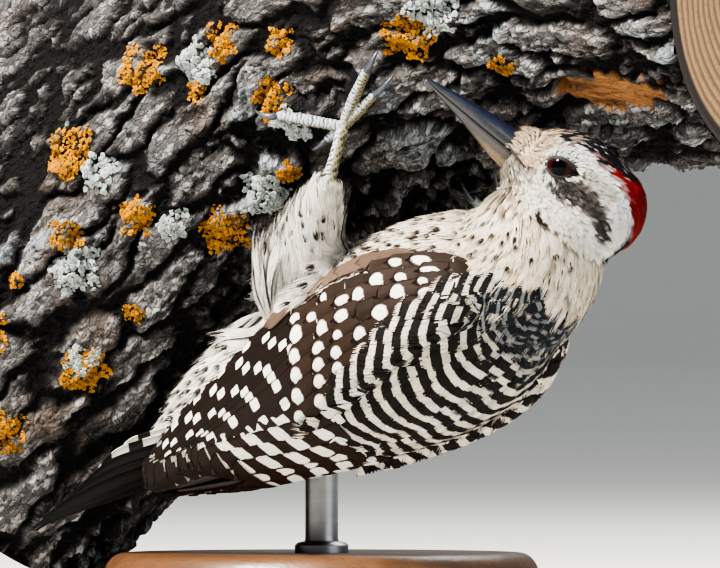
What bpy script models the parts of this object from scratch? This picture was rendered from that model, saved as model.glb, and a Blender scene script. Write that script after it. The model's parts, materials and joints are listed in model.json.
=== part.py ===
"""A male ladder-backed woodpecker clinging under a cut length of a sloping branch, on a display stand.

The bird is life size. It is modelled in its own frame (X towards the breast, Y to its left,
Z towards its back, millimetres) and then posed: it hangs from the lower side of the branch,
head up, with its head turned to the left. Feathered parts are solid to the tips of the coat.
"""

import math

import bmesh
import bpy
from mathutils import Matrix, Vector

MM = 0.001
GAP = 0.3                # clear space between neighbouring solids
SIGN = {"left": 1, "right": -1}
SIDES = 22               # facets round a body section

# The pose of the bird in the world.
BODY_AT = Vector((42.0, -33.0, 54.0))   # middle of the trunk, over the centre of the stand
BODY_PITCH = 21.5                        # how far the long axis rises towards the head
BODY_ROLL = 155.1                        # 180 would hang it straight under the branch

# The head's pose, in the bird's frame: where the skull's middle is and which way it looks.
HEAD_AT = Vector((50.7, 5.7, -15.4))
BILL_WAY = Vector((-0.372, 0.725, -0.580))
CROWN_WAY = Vector((0.905, 0.148, -0.400))

# Trunk sections: x, middle z, half width, half height.
TRUNK_SECTIONS = (
    (-66.0, -2.4, 1.6, 1.2),
    (-60.0, -3.0, 6.0, 6.0),
    (-51.0, -3.6, 10.0, 11.2),
    (-40.0, -4.0, 13.4, 15.6),
    (-26.0, -3.6, 17.0, 18.6),
    (-10.0, -3.0, 20.0, 21.2),
    (4.0, -2.8, 21.2, 22.4),
    (15.0, -2.8, 20.6, 21.4),
    (24.0, -3.4, 18.0, 18.6),
    (31.0, -4.4, 13.4, 13.8),
    (35.6, -5.0, 7.6, 7.6),
    (37.4, -5.2, 2.8, 2.8),
)
# Neck: middle of each ring in the bird's frame and its radius.
NECK_RINGS = (
    (Vector((20.0, 0.0, -1.4)), 13.6),
    (Vector((28.6, 0.6, -3.8)), 15.4),
    (Vector((35.6, 2.0, -7.4)), 14.8),
    (Vector((42.0, 3.8, -11.0)), 13.2),
    (Vector((47.0, 5.0, -13.8)), 11.2),
)
# Head sections in the head's frame: x towards the bill, top z, bottom z, half width.
HEAD_SECTIONS = (
    (-15.6, 1.0, -2.8, 2.4),
    (-13.6, 5.8, -7.4, 6.4),
    (-9.6, 9.6, -10.4, 9.0),
    (-4.5, 11.6, -11.6, 10.0),
    (0.5, 11.9, -11.6, 9.9),
    (5.0, 10.2, -11.2, 9.0),
    (9.0, 7.8, -10.4, 7.6),
    (13.0, 4.8, -9.0, 5.6),
    (15.6, 3.1, -8.4, 4.7),
    (17.2, 2.1, -8.0, 4.1),
)
# Bill: x, culmen z, line between the halves z, lower edge z, half width.
BILL_SECTIONS = (
    (12.5, 1.0, -3.4, -7.1, 2.6),
    (17.5, 0.9, -3.3, -6.9, 2.9),
    (24.0, 0.2, -3.2, -5.6, 2.2),
    (30.6, -1.0, -3.0, -4.2, 1.4),
    (35.6, -2.1, -2.85, -3.4, 0.8),
    (38.8, -2.65, -2.8, -3.0, 0.4),
)
LOWER_BILL_SHORTER = 0.7

EYE_AT = Vector((5.0, 6.7, 3.1))         # left eye in the head's frame
EYE_RADIUS = 3.1

# Wing sections on an oval round the trunk: x, middle z, half width, half height and the
# angles of the lower and upper edge, from the side (0) up to the middle of the back (90).
WING_SECTIONS = (
    (31.0, 1.4, 13.6, 11.0, 2.0, 16.0),
    (27.0, 1.0, 17.4, 16.2, -6.0, 34.0),
    (17.0, 0.6, 21.8, 20.8, -11.0, 38.0),
    (4.0, -0.2, 23.0, 22.4, -15.0, 46.0),
    (-10.0, -0.6, 22.0, 21.4, -16.0, 55.0),
    (-22.0, -0.6, 19.8, 19.0, -15.0, 66.0),
    (-35.0, -0.4, 16.2, 15.8, -12.0, 76.0),
    (-48.0, 0.2, 12.2, 12.2, -5.0, 84.0),
    (-60.0, 1.2, 7.6, 8.4, 8.0, 86.5),
    (-66.0, 1.8, 5.0, 6.0, 20.0, 85.0),
    (-70.0, 2.6, 2.6, 3.6, 35.0, 80.0),
)
WING_THICK = 2.6
TIP_THICK = 1.0

# Tail: x, half width, top z in the middle.
TAIL_SECTIONS = (
    (-44.0, 6.4, 4.0),
    (-56.0, 8.0, 3.0),
    (-68.0, 9.2, 2.2),
    (-80.0, 8.6, 1.5),
    (-90.0, 6.4, 1.2),
    (-97.0, 3.6, 1.5),
    (-100.5, 1.0, 2.0),
)
TAIL_THICK = 1.7
TAIL_ARCH = 0.030        # drop of the edges, per mm of half width squared

# Legs: the left one, in the bird's frame; the right one mirrors it.
THIGH_POINTS = (
    (Vector((-17.5, 8.0, -9.0)), 12.0),
    (Vector((-13.5, 14.0, -14.0)), 11.2),
    (Vector((-8.8, 19.2, -18.2)), 9.0),
    (Vector((-2.6, 24.6, -22.2)), 5.4),
    (Vector((4.6, 29.5, -26.4)), 2.3),
)
TARSUS_RADII = (1.7, 1.25, 1.2, 1.35)
# Feet: distance along the branch from its lower end, and angle round it from the bird's plane.
FEET = {"left": (142.0, 26.5), "right": (144.8, -24.0)}
TOE_LIFT = 1.75          # height of a toe's middle over the bark
TOE_TAPER = (1.0, 0.95, 1.0, 0.86, 0.8)
# Claws: part of the length, height over the bark and part of the toe's radius.
CLAW_HOOK = ((0.0, 1.7, 0.8), (0.25, 2.4, 0.74), (0.6, 2.2, 0.5), (0.88, 1.35, 0.28),
             (1.0, 0.62, 0.12))
# Toes: heading on the bark from straight up the branch, length, radius, claw length.
TOES = {
    "toe_first": (186.0, 5.4, 1.00, 4.2),
    "toe_second": (17.0, 11.2, 1.10, 5.4),
    "toe_third": (40.0, 16.2, 1.20, 5.2),
    "toe_fourth": (131.0, 16.0, 1.20, 5.4),
}
FOOT_TURN = {"left": 0.0, "right": -85.0}

# Branch: points of its middle in the bird's frame, and radii.
BRANCH_POINTS = (
    (Vector((-129.0, -8.5, -45.6)), 51.0),
    (Vector((-91.7, -7.0, -60.3)), 51.5),
    (Vector((-54.2, -4.5, -75.1)), 51.5),
    (Vector((-19.0, -1.6, -85.6)), 51.0),
    (Vector((14.0, 0.6, -88.0)), 50.0),
    (Vector((50.0, -3.4, -81.2)), 47.5),
    (Vector((92.9, -12.0, -62.5)), 44.0),
)
AXIS_SAMPLES = 121
BRANCH_RINGS = 20
BRANCH_SIDES = 28
LUMPS = ((2, 0.020, 0.6, 0.9), (3, 0.020, 2.1, -1.7), (5, 0.012, 0.3, 2.6))

ROD_RADIUS = 3.5
ROD_DEEP = 14.0          # of the rod in the branch
BASE_RADIUS = 48.0
BASE_THICK = 11.0
BASE_BEVEL = 1.5

COLOURS = {
    "plumage_white": ((0.80, 0.76, 0.68), 0.85),
    "plumage_barred": ((0.30, 0.25, 0.21), 0.8),
    "tail_black": ((0.03, 0.03, 0.035), 0.5),
    "crown_red": ((0.55, 0.06, 0.03), 0.8),
    "bill_slate": ((0.10, 0.12, 0.16), 0.35),
    "eye_brown": ((0.05, 0.02, 0.015), 0.08),
    "foot_grey": ((0.42, 0.46, 0.42), 0.6),
    "claw_dark": ((0.10, 0.10, 0.11), 0.35),
    "bark": ((0.30, 0.27, 0.24), 0.95),
    "stand_metal": ((0.16, 0.16, 0.17), 0.4),
    "stand_wood": ((0.32, 0.20, 0.12), 0.45),
}


def material(name):
    """The named finish, made once."""
    found = bpy.data.materials.get(name)
    if found:
        return found
    colour, rough = COLOURS[name]
    made = bpy.data.materials.new(name)
    made.use_nodes = True
    shader = made.node_tree.nodes["Principled BSDF"]
    shader.inputs["Base Color"].default_value = (*colour, 1.0)
    shader.inputs["Roughness"].default_value = rough
    shader.inputs["Metallic"].default_value = 1.0 if name == "stand_metal" else 0.0
    return made


def bird_matrix():
    """Carries the bird's own frame into the world, in millimetres."""
    pitch = Matrix.Rotation(math.radians(-BODY_PITCH), 4, "Y")
    roll = Matrix.Rotation(math.radians(BODY_ROLL), 4, "X")
    return Matrix.Translation(BODY_AT) @ pitch @ roll


def head_matrix():
    """Carries the head's frame into the bird's frame."""
    forward = BILL_WAY.normalized()
    left = CROWN_WAY.cross(forward).normalized()
    up = forward.cross(left)
    turn = Matrix((forward, left, up)).transposed().to_4x4()
    return Matrix.Translation(HEAD_AT) @ turn


BIRD = bird_matrix()
HEAD = BIRD @ head_matrix()


def smooth_rows(rows, count):
    """Rows of numbers read from a smooth curve through the given rows, count of them."""
    made = []
    last = len(rows) - 1
    for step in range(count):
        where = step / (count - 1) * last
        i = min(int(where), last - 1)
        t = where - i
        a, b, c, d = (rows[min(max(k, 0), last)] for k in (i - 1, i, i + 1, i + 2))
        made.append(tuple(catmull(p, q, r, s, t) for p, q, r, s in zip(a, b, c, d)))
    return made


def catmull(p, q, r, s, t):
    """Catmull-Rom value between q and r."""
    return 0.5 * (2 * q + (r - p) * t + (2 * p - 5 * q + 4 * r - s) * t * t
                  + (3 * q - p - 3 * r + s) * t * t * t)


def place(name, mesh, finish, collection):
    """A named object for the mesh, in the parts' collection."""
    obj = bpy.data.objects.new(name, mesh)
    collection.objects.link(obj)
    if finish:
        mesh.materials.append(material(finish))
        mesh.shade_smooth()
        mesh.set_sharp_from_angle(angle=math.radians(40))
    else:
        obj.hide_render = True
        obj.display_type = "WIRE"
    return obj


def loft(name, rings, finish, collection, to_world=Matrix.Identity(4)):
    """A closed solid through rings of equally many points, with flat ends."""
    bm = bmesh.new()
    rows = [[bm.verts.new((to_world @ p) * MM) for p in ring] for ring in rings]
    for low, high in zip(rows, rows[1:]):
        for i, _ in enumerate(low):
            j = (i + 1) % len(low)
            bm.faces.new((low[i], low[j], high[j], high[i]))
    bm.faces.new(rows[0][::-1])
    bm.faces.new(rows[-1])
    bmesh.ops.recalc_face_normals(bm, faces=bm.faces)
    if bm.calc_volume(signed=True) < 0:
        bmesh.ops.reverse_faces(bm, faces=bm.faces)
    mesh = bpy.data.meshes.new(name)
    bm.to_mesh(mesh)
    bm.free()
    return place(name, mesh, finish, collection)


def oval(centre, side, up, half_width, half_height, sides=SIDES):
    """Points of an oval in the plane of side and up."""
    turns = (2 * math.pi * k / sides for k in range(sides))
    return [centre + side * (half_width * math.cos(a)) + up * (half_height * math.sin(a))
            for a in turns]


def cut(obj, *cutters):
    """Takes the cutters away from obj with Boolean modifiers."""
    for cutter in cutters:
        boolean = obj.modifiers.new("cut_" + cutter.name, "BOOLEAN")
        boolean.operation = "DIFFERENCE"
        boolean.object = cutter


def trunk(name, finish, collection, grow=0.0):
    """The feathered trunk, or a copy of it that is larger by grow."""
    rings = [oval(Vector((x, 0, z)), Vector((0, 1, 0)), Vector((0, 0, 1)), w + grow, h + grow)
             for x, z, w, h in smooth_rows(TRUNK_SECTIONS, 20)]
    rings[0] = [p - Vector((grow, 0, 0)) for p in rings[0]]
    rings[-1] = [p + Vector((grow, 0, 0)) for p in rings[-1]]
    return loft(name, rings, finish, collection, BIRD)


def neck(name, finish, collection, grow=0.0):
    """The neck, a bent tube from inside the trunk to inside the head."""
    rows = smooth_rows([(*at, r) for at, r in NECK_RINGS], 9)
    middles = [Vector(row[:3]) for row in rows]
    rings = []
    for i, row in enumerate(rows):
        ahead = (middles[min(i + 1, len(rows) - 1)] - middles[max(i - 1, 0)]).normalized()
        side = Vector((0, 0, 1)).cross(ahead).normalized()
        rings.append(oval(middles[i], side, ahead.cross(side), row[3] + grow, row[3] + grow))
    return loft(name, rings, finish, collection, BIRD)


def head(name, finish, collection, grow=0.0):
    """The feathered head, or a copy of it that is larger by grow."""
    rings = []
    for x, top, bottom, w in smooth_rows(HEAD_SECTIONS, 14):
        middle = Vector((x, 0, (top + bottom) / 2))
        rings.append(oval(middle, Vector((0, 1, 0)), Vector((0, 0, 1)),
                          w + grow, (top - bottom) / 2 + grow))
    rings[0] = [p - Vector((grow, 0, 0)) for p in rings[0]]
    rings[-1] = [p + Vector((grow, 0, 0)) for p in rings[-1]]
    return loft(name, rings, finish, collection, HEAD)


def bill_half(name, finish, collection, upper, grow=0.0):
    """One half of the bill: a keel-shaped section that runs out to a narrow chisel tip."""
    rings = []
    for x, culmen, line, under, w in smooth_rows(BILL_SECTIONS, 11):
        shift = 0.0 if upper else LOWER_BILL_SHORTER * (x - BILL_SECTIONS[0][0]) / 25
        flat = line + GAP / 2 - grow if upper else line - GAP / 2 + grow
        ridge = culmen + grow if upper else under - grow
        rise = ridge - flat
        points = []
        for k in range(9):
            a = math.pi * k / 8
            side = (w + grow) * math.copysign(abs(math.cos(a)) ** 0.8, math.cos(a))
            points.append(Vector((x - shift, side, flat + rise * math.sin(a) ** 0.9)))
        rings.append(points)
    rings[0] = [p - Vector((grow, 0, 0)) for p in rings[0]]
    return loft(name, rings, finish, collection, HEAD)


def eyeball(name, finish, collection, side, grow=0.0):
    """One eye, a ball set into the side of the head."""
    middle = HEAD @ Vector((EYE_AT.x, EYE_AT.y * side, EYE_AT.z))
    bm = bmesh.new()
    bmesh.ops.create_uvsphere(bm, u_segments=12, v_segments=8,
                              radius=(EYE_RADIUS + grow) * MM)
    bmesh.ops.translate(bm, verts=bm.verts, vec=middle * MM)
    mesh = bpy.data.meshes.new(name)
    bm.to_mesh(mesh)
    bm.free()
    return place(name, mesh, finish, collection)


def wing(name, finish, collection, sign, grow=0.0):
    """A folded wing: a thin shell lying over the side and back, narrowing to its tip."""
    rows = smooth_rows(WING_SECTIONS, 17)
    steps = 7
    rings = []
    for i, (x, z, w, h, low, high) in enumerate(rows):
        thick = WING_THICK + (TIP_THICK - WING_THICK) * i / (len(rows) - 1) + 2 * grow
        spread = math.degrees(grow / w)
        angles = [math.radians(low - spread + (high - low + 2 * spread) * k / steps)
                  for k in range(steps + 1)]
        outer = [Vector((x, sign * (w + grow) * math.cos(a), z + (h + grow) * math.sin(a)))
                 for a in angles]
        inner = [Vector((x, sign * (w + grow - thick) * math.cos(a),
                         z + (h + grow - thick) * math.sin(a))) for a in angles]
        rings.append(outer + inner[::-1])
    return loft(name, rings, finish, collection, BIRD)


def tail(name, finish, collection, grow=0.0):
    """The closed tail: an arched fan of stiff feathers with a wedge-shaped end."""
    steps = 8
    rings = []
    for x, w, top in smooth_rows(TAIL_SECTIONS, 12):
        across = [(w + grow) * (2 * k / steps - 1) for k in range(steps + 1)]
        over = [Vector((x, y, top + grow - TAIL_ARCH * y * y)) for y in across]
        under = [p - Vector((0, 0, TAIL_THICK + 2 * grow)) for p in over]
        rings.append(over + under[::-1])
    return loft(name, rings, finish, collection, BIRD)


def limb(name, points, radii, finish, collection, sides=10, rings=9):
    """A round tapering limb through points in the world, millimetres."""
    rows = smooth_rows([(*p, r) for p, r in zip(points, radii)], rings)
    middles = [Vector(row[:3]) for row in rows]
    aside = (middles[-1] - middles[0]).orthogonal().normalized()
    hoops = []
    for i, row in enumerate(rows):
        ahead = (middles[min(i + 1, len(rows) - 1)] - middles[max(i - 1, 0)]).normalized()
        side = (aside - ahead * aside.dot(ahead)).normalized()
        hoops.append(oval(middles[i], side, ahead.cross(side), row[3], row[3], sides))
    return loft(name, hoops, finish, collection)


def branch_axis():
    """Samples of the branch's middle line: distance along it, point, direction and radius."""
    rows = smooth_rows([(*p, r) for p, r in BRANCH_POINTS], AXIS_SAMPLES)
    middles = [BIRD @ Vector(row[:3]) for row in rows]
    samples = []
    gone = 0.0
    for i, row in enumerate(rows):
        before = middles[max(i - 1, 0)]
        gone += (middles[i] - before).length
        ahead = (middles[min(i + 1, len(rows) - 1)] - before).normalized()
        samples.append((gone, middles[i], ahead, row[3]))
    return samples


AXIS = branch_axis()


def branch_frame(along):
    """Middle, direction towards the bird, direction to its left and radius at a distance
    along the branch in millimetres."""
    i = next((k for k, row in enumerate(AXIS) if row[0] >= along), len(AXIS) - 1)
    low, high = AXIS[max(i - 1, 0)], AXIS[i]
    t = (along - low[0]) / max(high[0] - low[0], 1e-6)
    ahead = low[2].lerp(high[2], t).normalized()
    left = BIRD.to_3x3() @ Vector((0, 1, 0))
    left = (left - ahead * left.dot(ahead)).normalized()
    radius = low[3] + (high[3] - low[3]) * t
    return low[1].lerp(high[1], t), ahead.cross(left), left, radius


def on_bark(along, turn, lift):
    """A point over the bark: distance along, angle from the bird's side of the branch in
    degrees towards the bird's left, and height over the surface."""
    middle, near, left, radius = branch_frame(along)
    a = math.radians(turn)
    out = near * math.cos(a) + left * math.sin(a)
    return middle + out * (radius * lumps(along, a) + lift)


def to_bark(point, lift):
    """The given point moved straight in or out to a height over the bark."""
    along = min(AXIS, key=lambda row: (row[1] - point).length)[0]
    for _ in range(4):
        middle, near, left, _ = branch_frame(along)
        along += (point - middle).dot(left.cross(near))
    middle, near, left, _ = branch_frame(along)
    away = point - middle
    return on_bark(along, math.degrees(math.atan2(away.dot(left), away.dot(near))), lift)


def lumps(along, angle):
    """How far the bark swells or sinks, as a factor on the radius."""
    return 1 + sum(size * math.sin(count * angle + phase + drift * along / 60)
                   for count, size, phase, drift in LUMPS)


def branch(name, finish, collection):
    """The cut length of branch with its swellings."""
    length = AXIS[-1][0]
    rings = []
    for i in range(BRANCH_RINGS + 1):
        along = length * i / BRANCH_RINGS
        rings.append([on_bark(along, 360 * k / BRANCH_SIDES, 0) for k in range(BRANCH_SIDES)])
    return loft(name, rings, finish, collection)


def reach(side, heading, gone, lift):
    """The point of the bark that a toe of one foot reaches after so many millimetres."""
    _, near, left, _ = branch_frame(FEET[side][0])
    a = math.radians(heading + FOOT_TURN[side])
    way = left.cross(near) * math.cos(a) + left * (SIGN[side] * math.sin(a))
    return to_bark(on_bark(*FEET[side], lift) + way * gone, lift)


def toe(name, collection, side, sizes):
    """One toe, jointed and lying on the bark, from inside the foot's ball."""
    heading, length, radius, _ = sizes
    points = [reach(side, heading, length * k / 4, TOE_LIFT) for k in range(5)]
    return limb(name, points, [radius * f for f in TOE_TAPER], None, collection, 8, 6)


def claw(name, finish, collection, side, sizes, grow=0.0):
    """One claw, hooked from the end of its toe down to the bark."""
    heading, length, radius, claw_length = sizes
    points = [reach(side, heading, length + GAP - grow + claw_length * far, lift)
              for far, lift, _ in CLAW_HOOK]
    radii = [radius * thick + grow for _, _, thick in CLAW_HOOK]
    return limb(name, points, radii, finish, collection, 6, 7)


def legs(parts, guides, trunk_cutter, wing_cutters):
    """Thigh, foot and claws of both legs. A foot is the tarsus and its four toes."""
    for side, sign in SIGN.items():
        points = [BIRD @ (p * Vector((1, sign, 1))) for p, _ in THIGH_POINTS]
        heel = points[-1]
        ball = on_bark(*FEET[side], TOE_LIFT + 0.6)
        shaft = (ball - heel).normalized()
        thigh = limb("thigh_" + side, points, [r for _, r in THIGH_POINTS],
                     "plumage_white", parts)
        cut(thigh, trunk_cutter, wing_cutters[side], heel_guard(guides, side, heel, shaft))
        foot = limb("foot_" + side, [heel + shaft * GAP, heel.lerp(ball, 0.3),
                                     heel.lerp(ball, 0.7), ball + shaft * 0.1],
                    TARSUS_RADII, "foot_grey", parts)
        for name, sizes in TOES.items():
            union = foot.modifiers.new(name, "BOOLEAN")
            union.operation = "UNION"
            union.object = toe(f"core_{name}_{side}", guides, side, sizes)
        for name, sizes in TOES.items():
            claw_name = name.replace("toe", "claw") + "_" + side
            claw(claw_name, "claw_dark", parts, side, sizes)
            cut(foot, claw("guard_" + claw_name, None, guides, side, sizes, GAP))


def heel_guard(guides, side, heel, shaft):
    """A plug that ends the thigh at the heel, clear of the tarsus."""
    return limb("guard_heel_" + side, [heel, heel + shaft * 8], (5.0, 5.0), None, guides, 8, 2)


def cylinder(name, radius, low, high, finish, collection, sides=40):
    """An upright cylinder on the stand's axis, between two heights."""
    bm = bmesh.new()
    bmesh.ops.create_cone(bm, cap_ends=True, segments=sides, radius1=radius * MM,
                          radius2=radius * MM, depth=(high - low) * MM)
    bmesh.ops.translate(bm, verts=bm.verts, vec=(0, 0, (low + high) / 2 * MM))
    mesh = bpy.data.meshes.new(name)
    bm.to_mesh(mesh)
    bm.free()
    return place(name, mesh, finish, collection)


def underside():
    """Height of the lowest bark over the stand's axis."""
    heights = []
    for i in range(60):
        along = AXIS[-1][0] * i / 59
        for turn in range(0, 360, 4):
            p = on_bark(along, turn, 0)
            if math.hypot(p.x, p.y) < 2 * ROD_RADIUS:
                heights.append(p.z)
    return min(heights)


def stand(parts, guides, perch):
    """The round base and the rod that stands in a drilled hole in the branch."""
    base = cylinder("stand_base", BASE_RADIUS, 0, BASE_THICK, "stand_wood", parts, 40)
    bevel = base.modifiers.new("edge", "BEVEL")
    bevel.width = BASE_BEVEL * MM
    bevel.segments = 2
    bevel.limit_method = "ANGLE"
    top = underside() + ROD_DEEP
    cylinder("stand_rod", ROD_RADIUS, BASE_THICK + GAP, top, "stand_metal", parts, 20)
    drill = cylinder("drill_rod", ROD_RADIUS + GAP, BASE_THICK + GAP, top + GAP, None, guides, 20)
    cut(perch, drill)


def build():
    """Makes every part."""
    for obj in list(bpy.data.objects):
        bpy.data.objects.remove(obj)
    parts = bpy.data.collections.new("woodpecker")
    guides = bpy.data.collections.new("cutters")
    for group in (parts, guides):
        bpy.context.scene.collection.children.link(group)

    trunk("trunk", "plumage_white", parts)
    trunk_cutter = trunk("guard_trunk", None, guides, GAP)
    head_piece = head("head", "plumage_white", parts)
    head_cutter = head("guard_head", None, guides, GAP)
    cut(neck("neck", "plumage_white", parts), trunk_cutter, head_cutter)
    neck_cutter = neck("guard_neck", None, guides, GAP)
    tail_cutter = tail("guard_tail", None, guides, GAP)

    for half, upper in (("upper", True), ("lower", False)):
        bill_half("bill_" + half, "bill_slate", parts, upper)
        cut(head_piece, bill_half("guard_bill_" + half, None, guides, upper, GAP))
    wing_cutters = {}
    for side, sign in SIGN.items():
        eyeball("eye_" + side, "eye_brown", parts, sign)
        cut(head_piece, eyeball("guard_eye_" + side, None, guides, sign, GAP))
        wing_cutters[side] = wing("guard_wing_" + side, None, guides, sign, GAP)
        cut(wing("wing_" + side, "plumage_barred", parts, sign),
            trunk_cutter, neck_cutter, tail_cutter)
    cut(tail("tail", "tail_black", parts), trunk_cutter)
    legs(parts, guides, trunk_cutter, wing_cutters)
    perch = branch("perch", "bark", parts)
    stand(parts, guides, perch)


build()
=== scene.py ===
"""Looks of the woodpecker: skin, plumage, bill, eyes, feet, bark, lichens and stand.

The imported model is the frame. Shapes repeat its named sizes, in millimetres and in the
bird's own frame: X towards the breast, Y to its left, Z towards its back.
"""

from __future__ import annotations

import json
import logging
import math
from collections.abc import Callable, Sequence
from dataclasses import dataclass, field
from enum import Enum

import bmesh
import bpy
import numpy as np
from mathutils import Matrix, Vector
from mathutils.bvhtree import BVHTree
from mathutils.kdtree import KDTree

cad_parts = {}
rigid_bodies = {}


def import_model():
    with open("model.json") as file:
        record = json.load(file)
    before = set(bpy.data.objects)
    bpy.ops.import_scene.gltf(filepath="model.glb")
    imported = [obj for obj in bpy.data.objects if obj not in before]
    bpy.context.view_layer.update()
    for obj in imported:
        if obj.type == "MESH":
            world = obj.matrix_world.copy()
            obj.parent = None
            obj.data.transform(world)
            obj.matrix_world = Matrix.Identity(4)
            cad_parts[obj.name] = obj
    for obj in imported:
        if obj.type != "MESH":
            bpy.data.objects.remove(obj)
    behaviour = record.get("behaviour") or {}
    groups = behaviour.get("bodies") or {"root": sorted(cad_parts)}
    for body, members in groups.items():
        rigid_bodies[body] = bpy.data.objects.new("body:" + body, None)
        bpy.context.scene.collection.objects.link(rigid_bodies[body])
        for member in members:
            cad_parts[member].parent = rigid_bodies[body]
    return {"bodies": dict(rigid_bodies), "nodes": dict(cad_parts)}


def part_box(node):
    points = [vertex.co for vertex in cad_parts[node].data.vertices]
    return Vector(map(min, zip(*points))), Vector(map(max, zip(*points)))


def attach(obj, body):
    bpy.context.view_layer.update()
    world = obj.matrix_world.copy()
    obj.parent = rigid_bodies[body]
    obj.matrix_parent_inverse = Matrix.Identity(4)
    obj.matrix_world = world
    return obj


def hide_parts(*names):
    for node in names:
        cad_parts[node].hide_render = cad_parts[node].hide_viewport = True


for leftover in list(bpy.data.objects):
    bpy.data.objects.remove(leftover)
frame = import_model()

LOG = logging.getLogger("woodpecker")
BODY = next(iter(frame["bodies"]))
MM = 0.001
SEED = 41
SIGN = {"left": 1, "right": -1}

EYES_MIDDLE = (5.0, 0.0, 3.0)
EYES_REACH = 20.0
BARK_RADIUS = 50.0
BARK_DEGREE = 0.87

BODY_AT = Vector((42.0, -33.0, 54.0))
BODY_PITCH = 21.5
BODY_ROLL = 155.1
HEAD_AT = Vector((50.7, 5.7, -15.4))
BILL_WAY = Vector((-0.372, 0.725, -0.580))
CROWN_WAY = Vector((0.905, 0.148, -0.400))

Colour = tuple[float, float, float]
WHITE: Colour = (0.83, 0.80, 0.745)
CREAM: Colour = (0.80, 0.70, 0.565)
BUFF: Colour = (0.62, 0.47, 0.31)
BROWN: Colour = (0.036, 0.019, 0.0115)
BLACK: Colour = (0.011, 0.0095, 0.010)
BLUE_BLACK: Colour = (0.011, 0.013, 0.019)
GREY_BROWN: Colour = (0.056, 0.049, 0.046)
RED: Colour = (0.30, 0.012, 0.008)
SMOKE: Colour = (0.24, 0.25, 0.28)


def bird_matrix() -> Matrix:
    """Carries the bird's own frame into the world, in millimetres.

    Returns:
        The bird's matrix.
    """
    pitch = Matrix.Rotation(math.radians(-BODY_PITCH), 4, "Y")
    roll = Matrix.Rotation(math.radians(BODY_ROLL), 4, "X")
    return Matrix.Translation(BODY_AT) @ pitch @ roll


def head_matrix() -> Matrix:
    """Carries the head's frame into the bird's frame.

    Returns:
        The head's matrix.
    """
    forward = BILL_WAY.normalized()
    left = CROWN_WAY.cross(forward).normalized()
    turn = Matrix((forward, left, forward.cross(left))).transposed().to_4x4()
    return Matrix.Translation(HEAD_AT) @ turn


BIRD = bird_matrix()
HEAD = BIRD @ head_matrix()


def to_world(points: np.ndarray, matrix: Matrix) -> np.ndarray:
    """Points of a local frame in the world.

    Args:
        points: Rows of x, y, z.
        matrix: The frame's matrix.

    Returns:
        Rows of x, y, z in the world.
    """
    m = np.array(matrix)
    return points @ m[:3, :3].T + m[:3, 3]


def to_local(points: np.ndarray, matrix: Matrix) -> np.ndarray:
    """World points in a local frame.

    Args:
        points: Rows of x, y, z.
        matrix: The frame's matrix, a pure turn and shift.

    Returns:
        Rows of x, y, z in the frame.
    """
    m = np.array(matrix)
    return (points - m[:3, 3]) @ m[:3, :3]


def turned(ways: np.ndarray, matrix: Matrix) -> np.ndarray:
    """Directions of a local frame in the world."""
    return ways @ np.array(matrix)[:3, :3].T


def unit(rows: np.ndarray) -> np.ndarray:
    """Rows scaled to length one."""
    return rows / np.maximum(np.linalg.norm(rows, axis=-1, keepdims=True), 1e-9)


def step(low: float, high: float, value: np.ndarray) -> np.ndarray:
    """A smooth rise from 0 at low to 1 at high; low may be the larger."""
    t = np.clip((value - low) / (high - low), 0.0, 1.0)
    return t * t * (3 - 2 * t)


def blend(first: np.ndarray, second: np.ndarray, share: np.ndarray) -> np.ndarray:
    """Rows mixed by a share per row."""
    return first + (np.asarray(second) - first) * share[:, None]


def catmull(rows: Sequence[Sequence[float]], count: int) -> np.ndarray:
    """Rows of numbers read from a smooth curve through the given rows.

    Args:
        rows: Rows of equally many numbers.
        count: How many rows to read.

    Returns:
        The rows read, evenly spaced from the first to the last.
    """
    table = np.array(rows, float)
    last = len(table) - 1
    where = np.linspace(0, last, count)
    i = np.minimum(where.astype(int), last - 1)
    t = (where - i)[:, None]
    p, q, r, s = (table[np.clip(i + k, 0, last)] for k in (-1, 0, 1, 2))
    return 0.5 * (2 * q + (r - p) * t + (2 * p - 5 * q + 4 * r - s) * t**2
                  + (3 * q - p - 3 * r + s) * t**3)


def arc(start: Sequence[float], end: Sequence[float], bow: Sequence[float],
        count: int = 5) -> np.ndarray:
    """Places on a shallow arc.

    Args:
        start: Where it starts.
        end: Where it ends.
        bow: How far its middle stands off the straight line.
        count: How many places.

    Returns:
        Rows of x, y, z.
    """
    t = np.linspace(0, 1, count)[:, None]
    straight = (1 - t) * np.array(start) + t * np.array(end)
    return straight + 4 * t * (1 - t) * np.array(bow)


def to_path(points: np.ndarray, path: Sequence[Sequence[float]]) -> np.ndarray:
    """Distance of points from a line through a few places.

    Args:
        points: Rows of x, y, z.
        path: The places.

    Returns:
        One distance per point.
    """
    near = np.full(len(points), 1e9)
    places = np.array(path, float)
    for a, b in zip(places, places[1:]):
        way = b - a
        t = np.clip((points - a) @ way / (way @ way), 0, 1)
        near = np.minimum(near, np.linalg.norm(points - a - t[:, None] * way, axis=1))
    return near


def grid(rows: int, columns: int, closed: bool = False) -> np.ndarray:
    """Faces of a grid of points, row by row.

    Args:
        rows: Number of rows.
        columns: Points in a row.
        closed: Whether each row closes on itself.

    Returns:
        Quads as point numbers.
    """
    i, j = np.meshgrid(np.arange(rows - 1), np.arange(columns if closed else columns - 1),
                       indexing="ij")
    k = (j + 1) % columns
    quads = (i * columns + j, i * columns + k, (i + 1) * columns + k, (i + 1) * columns + j)
    return np.stack(quads, -1).reshape(-1, 4)


def tube_faces(rings: int, sides: int, flipped: bool = False) -> list[list[int]]:
    """Faces of a tube closed by two end faces.

    Args:
        rings: Number of rings.
        sides: Points in a ring.
        flipped: Whether its rings run the other way round.

    Returns:
        Faces as point numbers.
    """
    ends = [list(range(sides))[::-1], list(range((rings - 1) * sides, rings * sides))]
    faces = grid(rings, sides, True).tolist() + ends
    return [face[::-1] for face in faces] if flipped else faces


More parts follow.
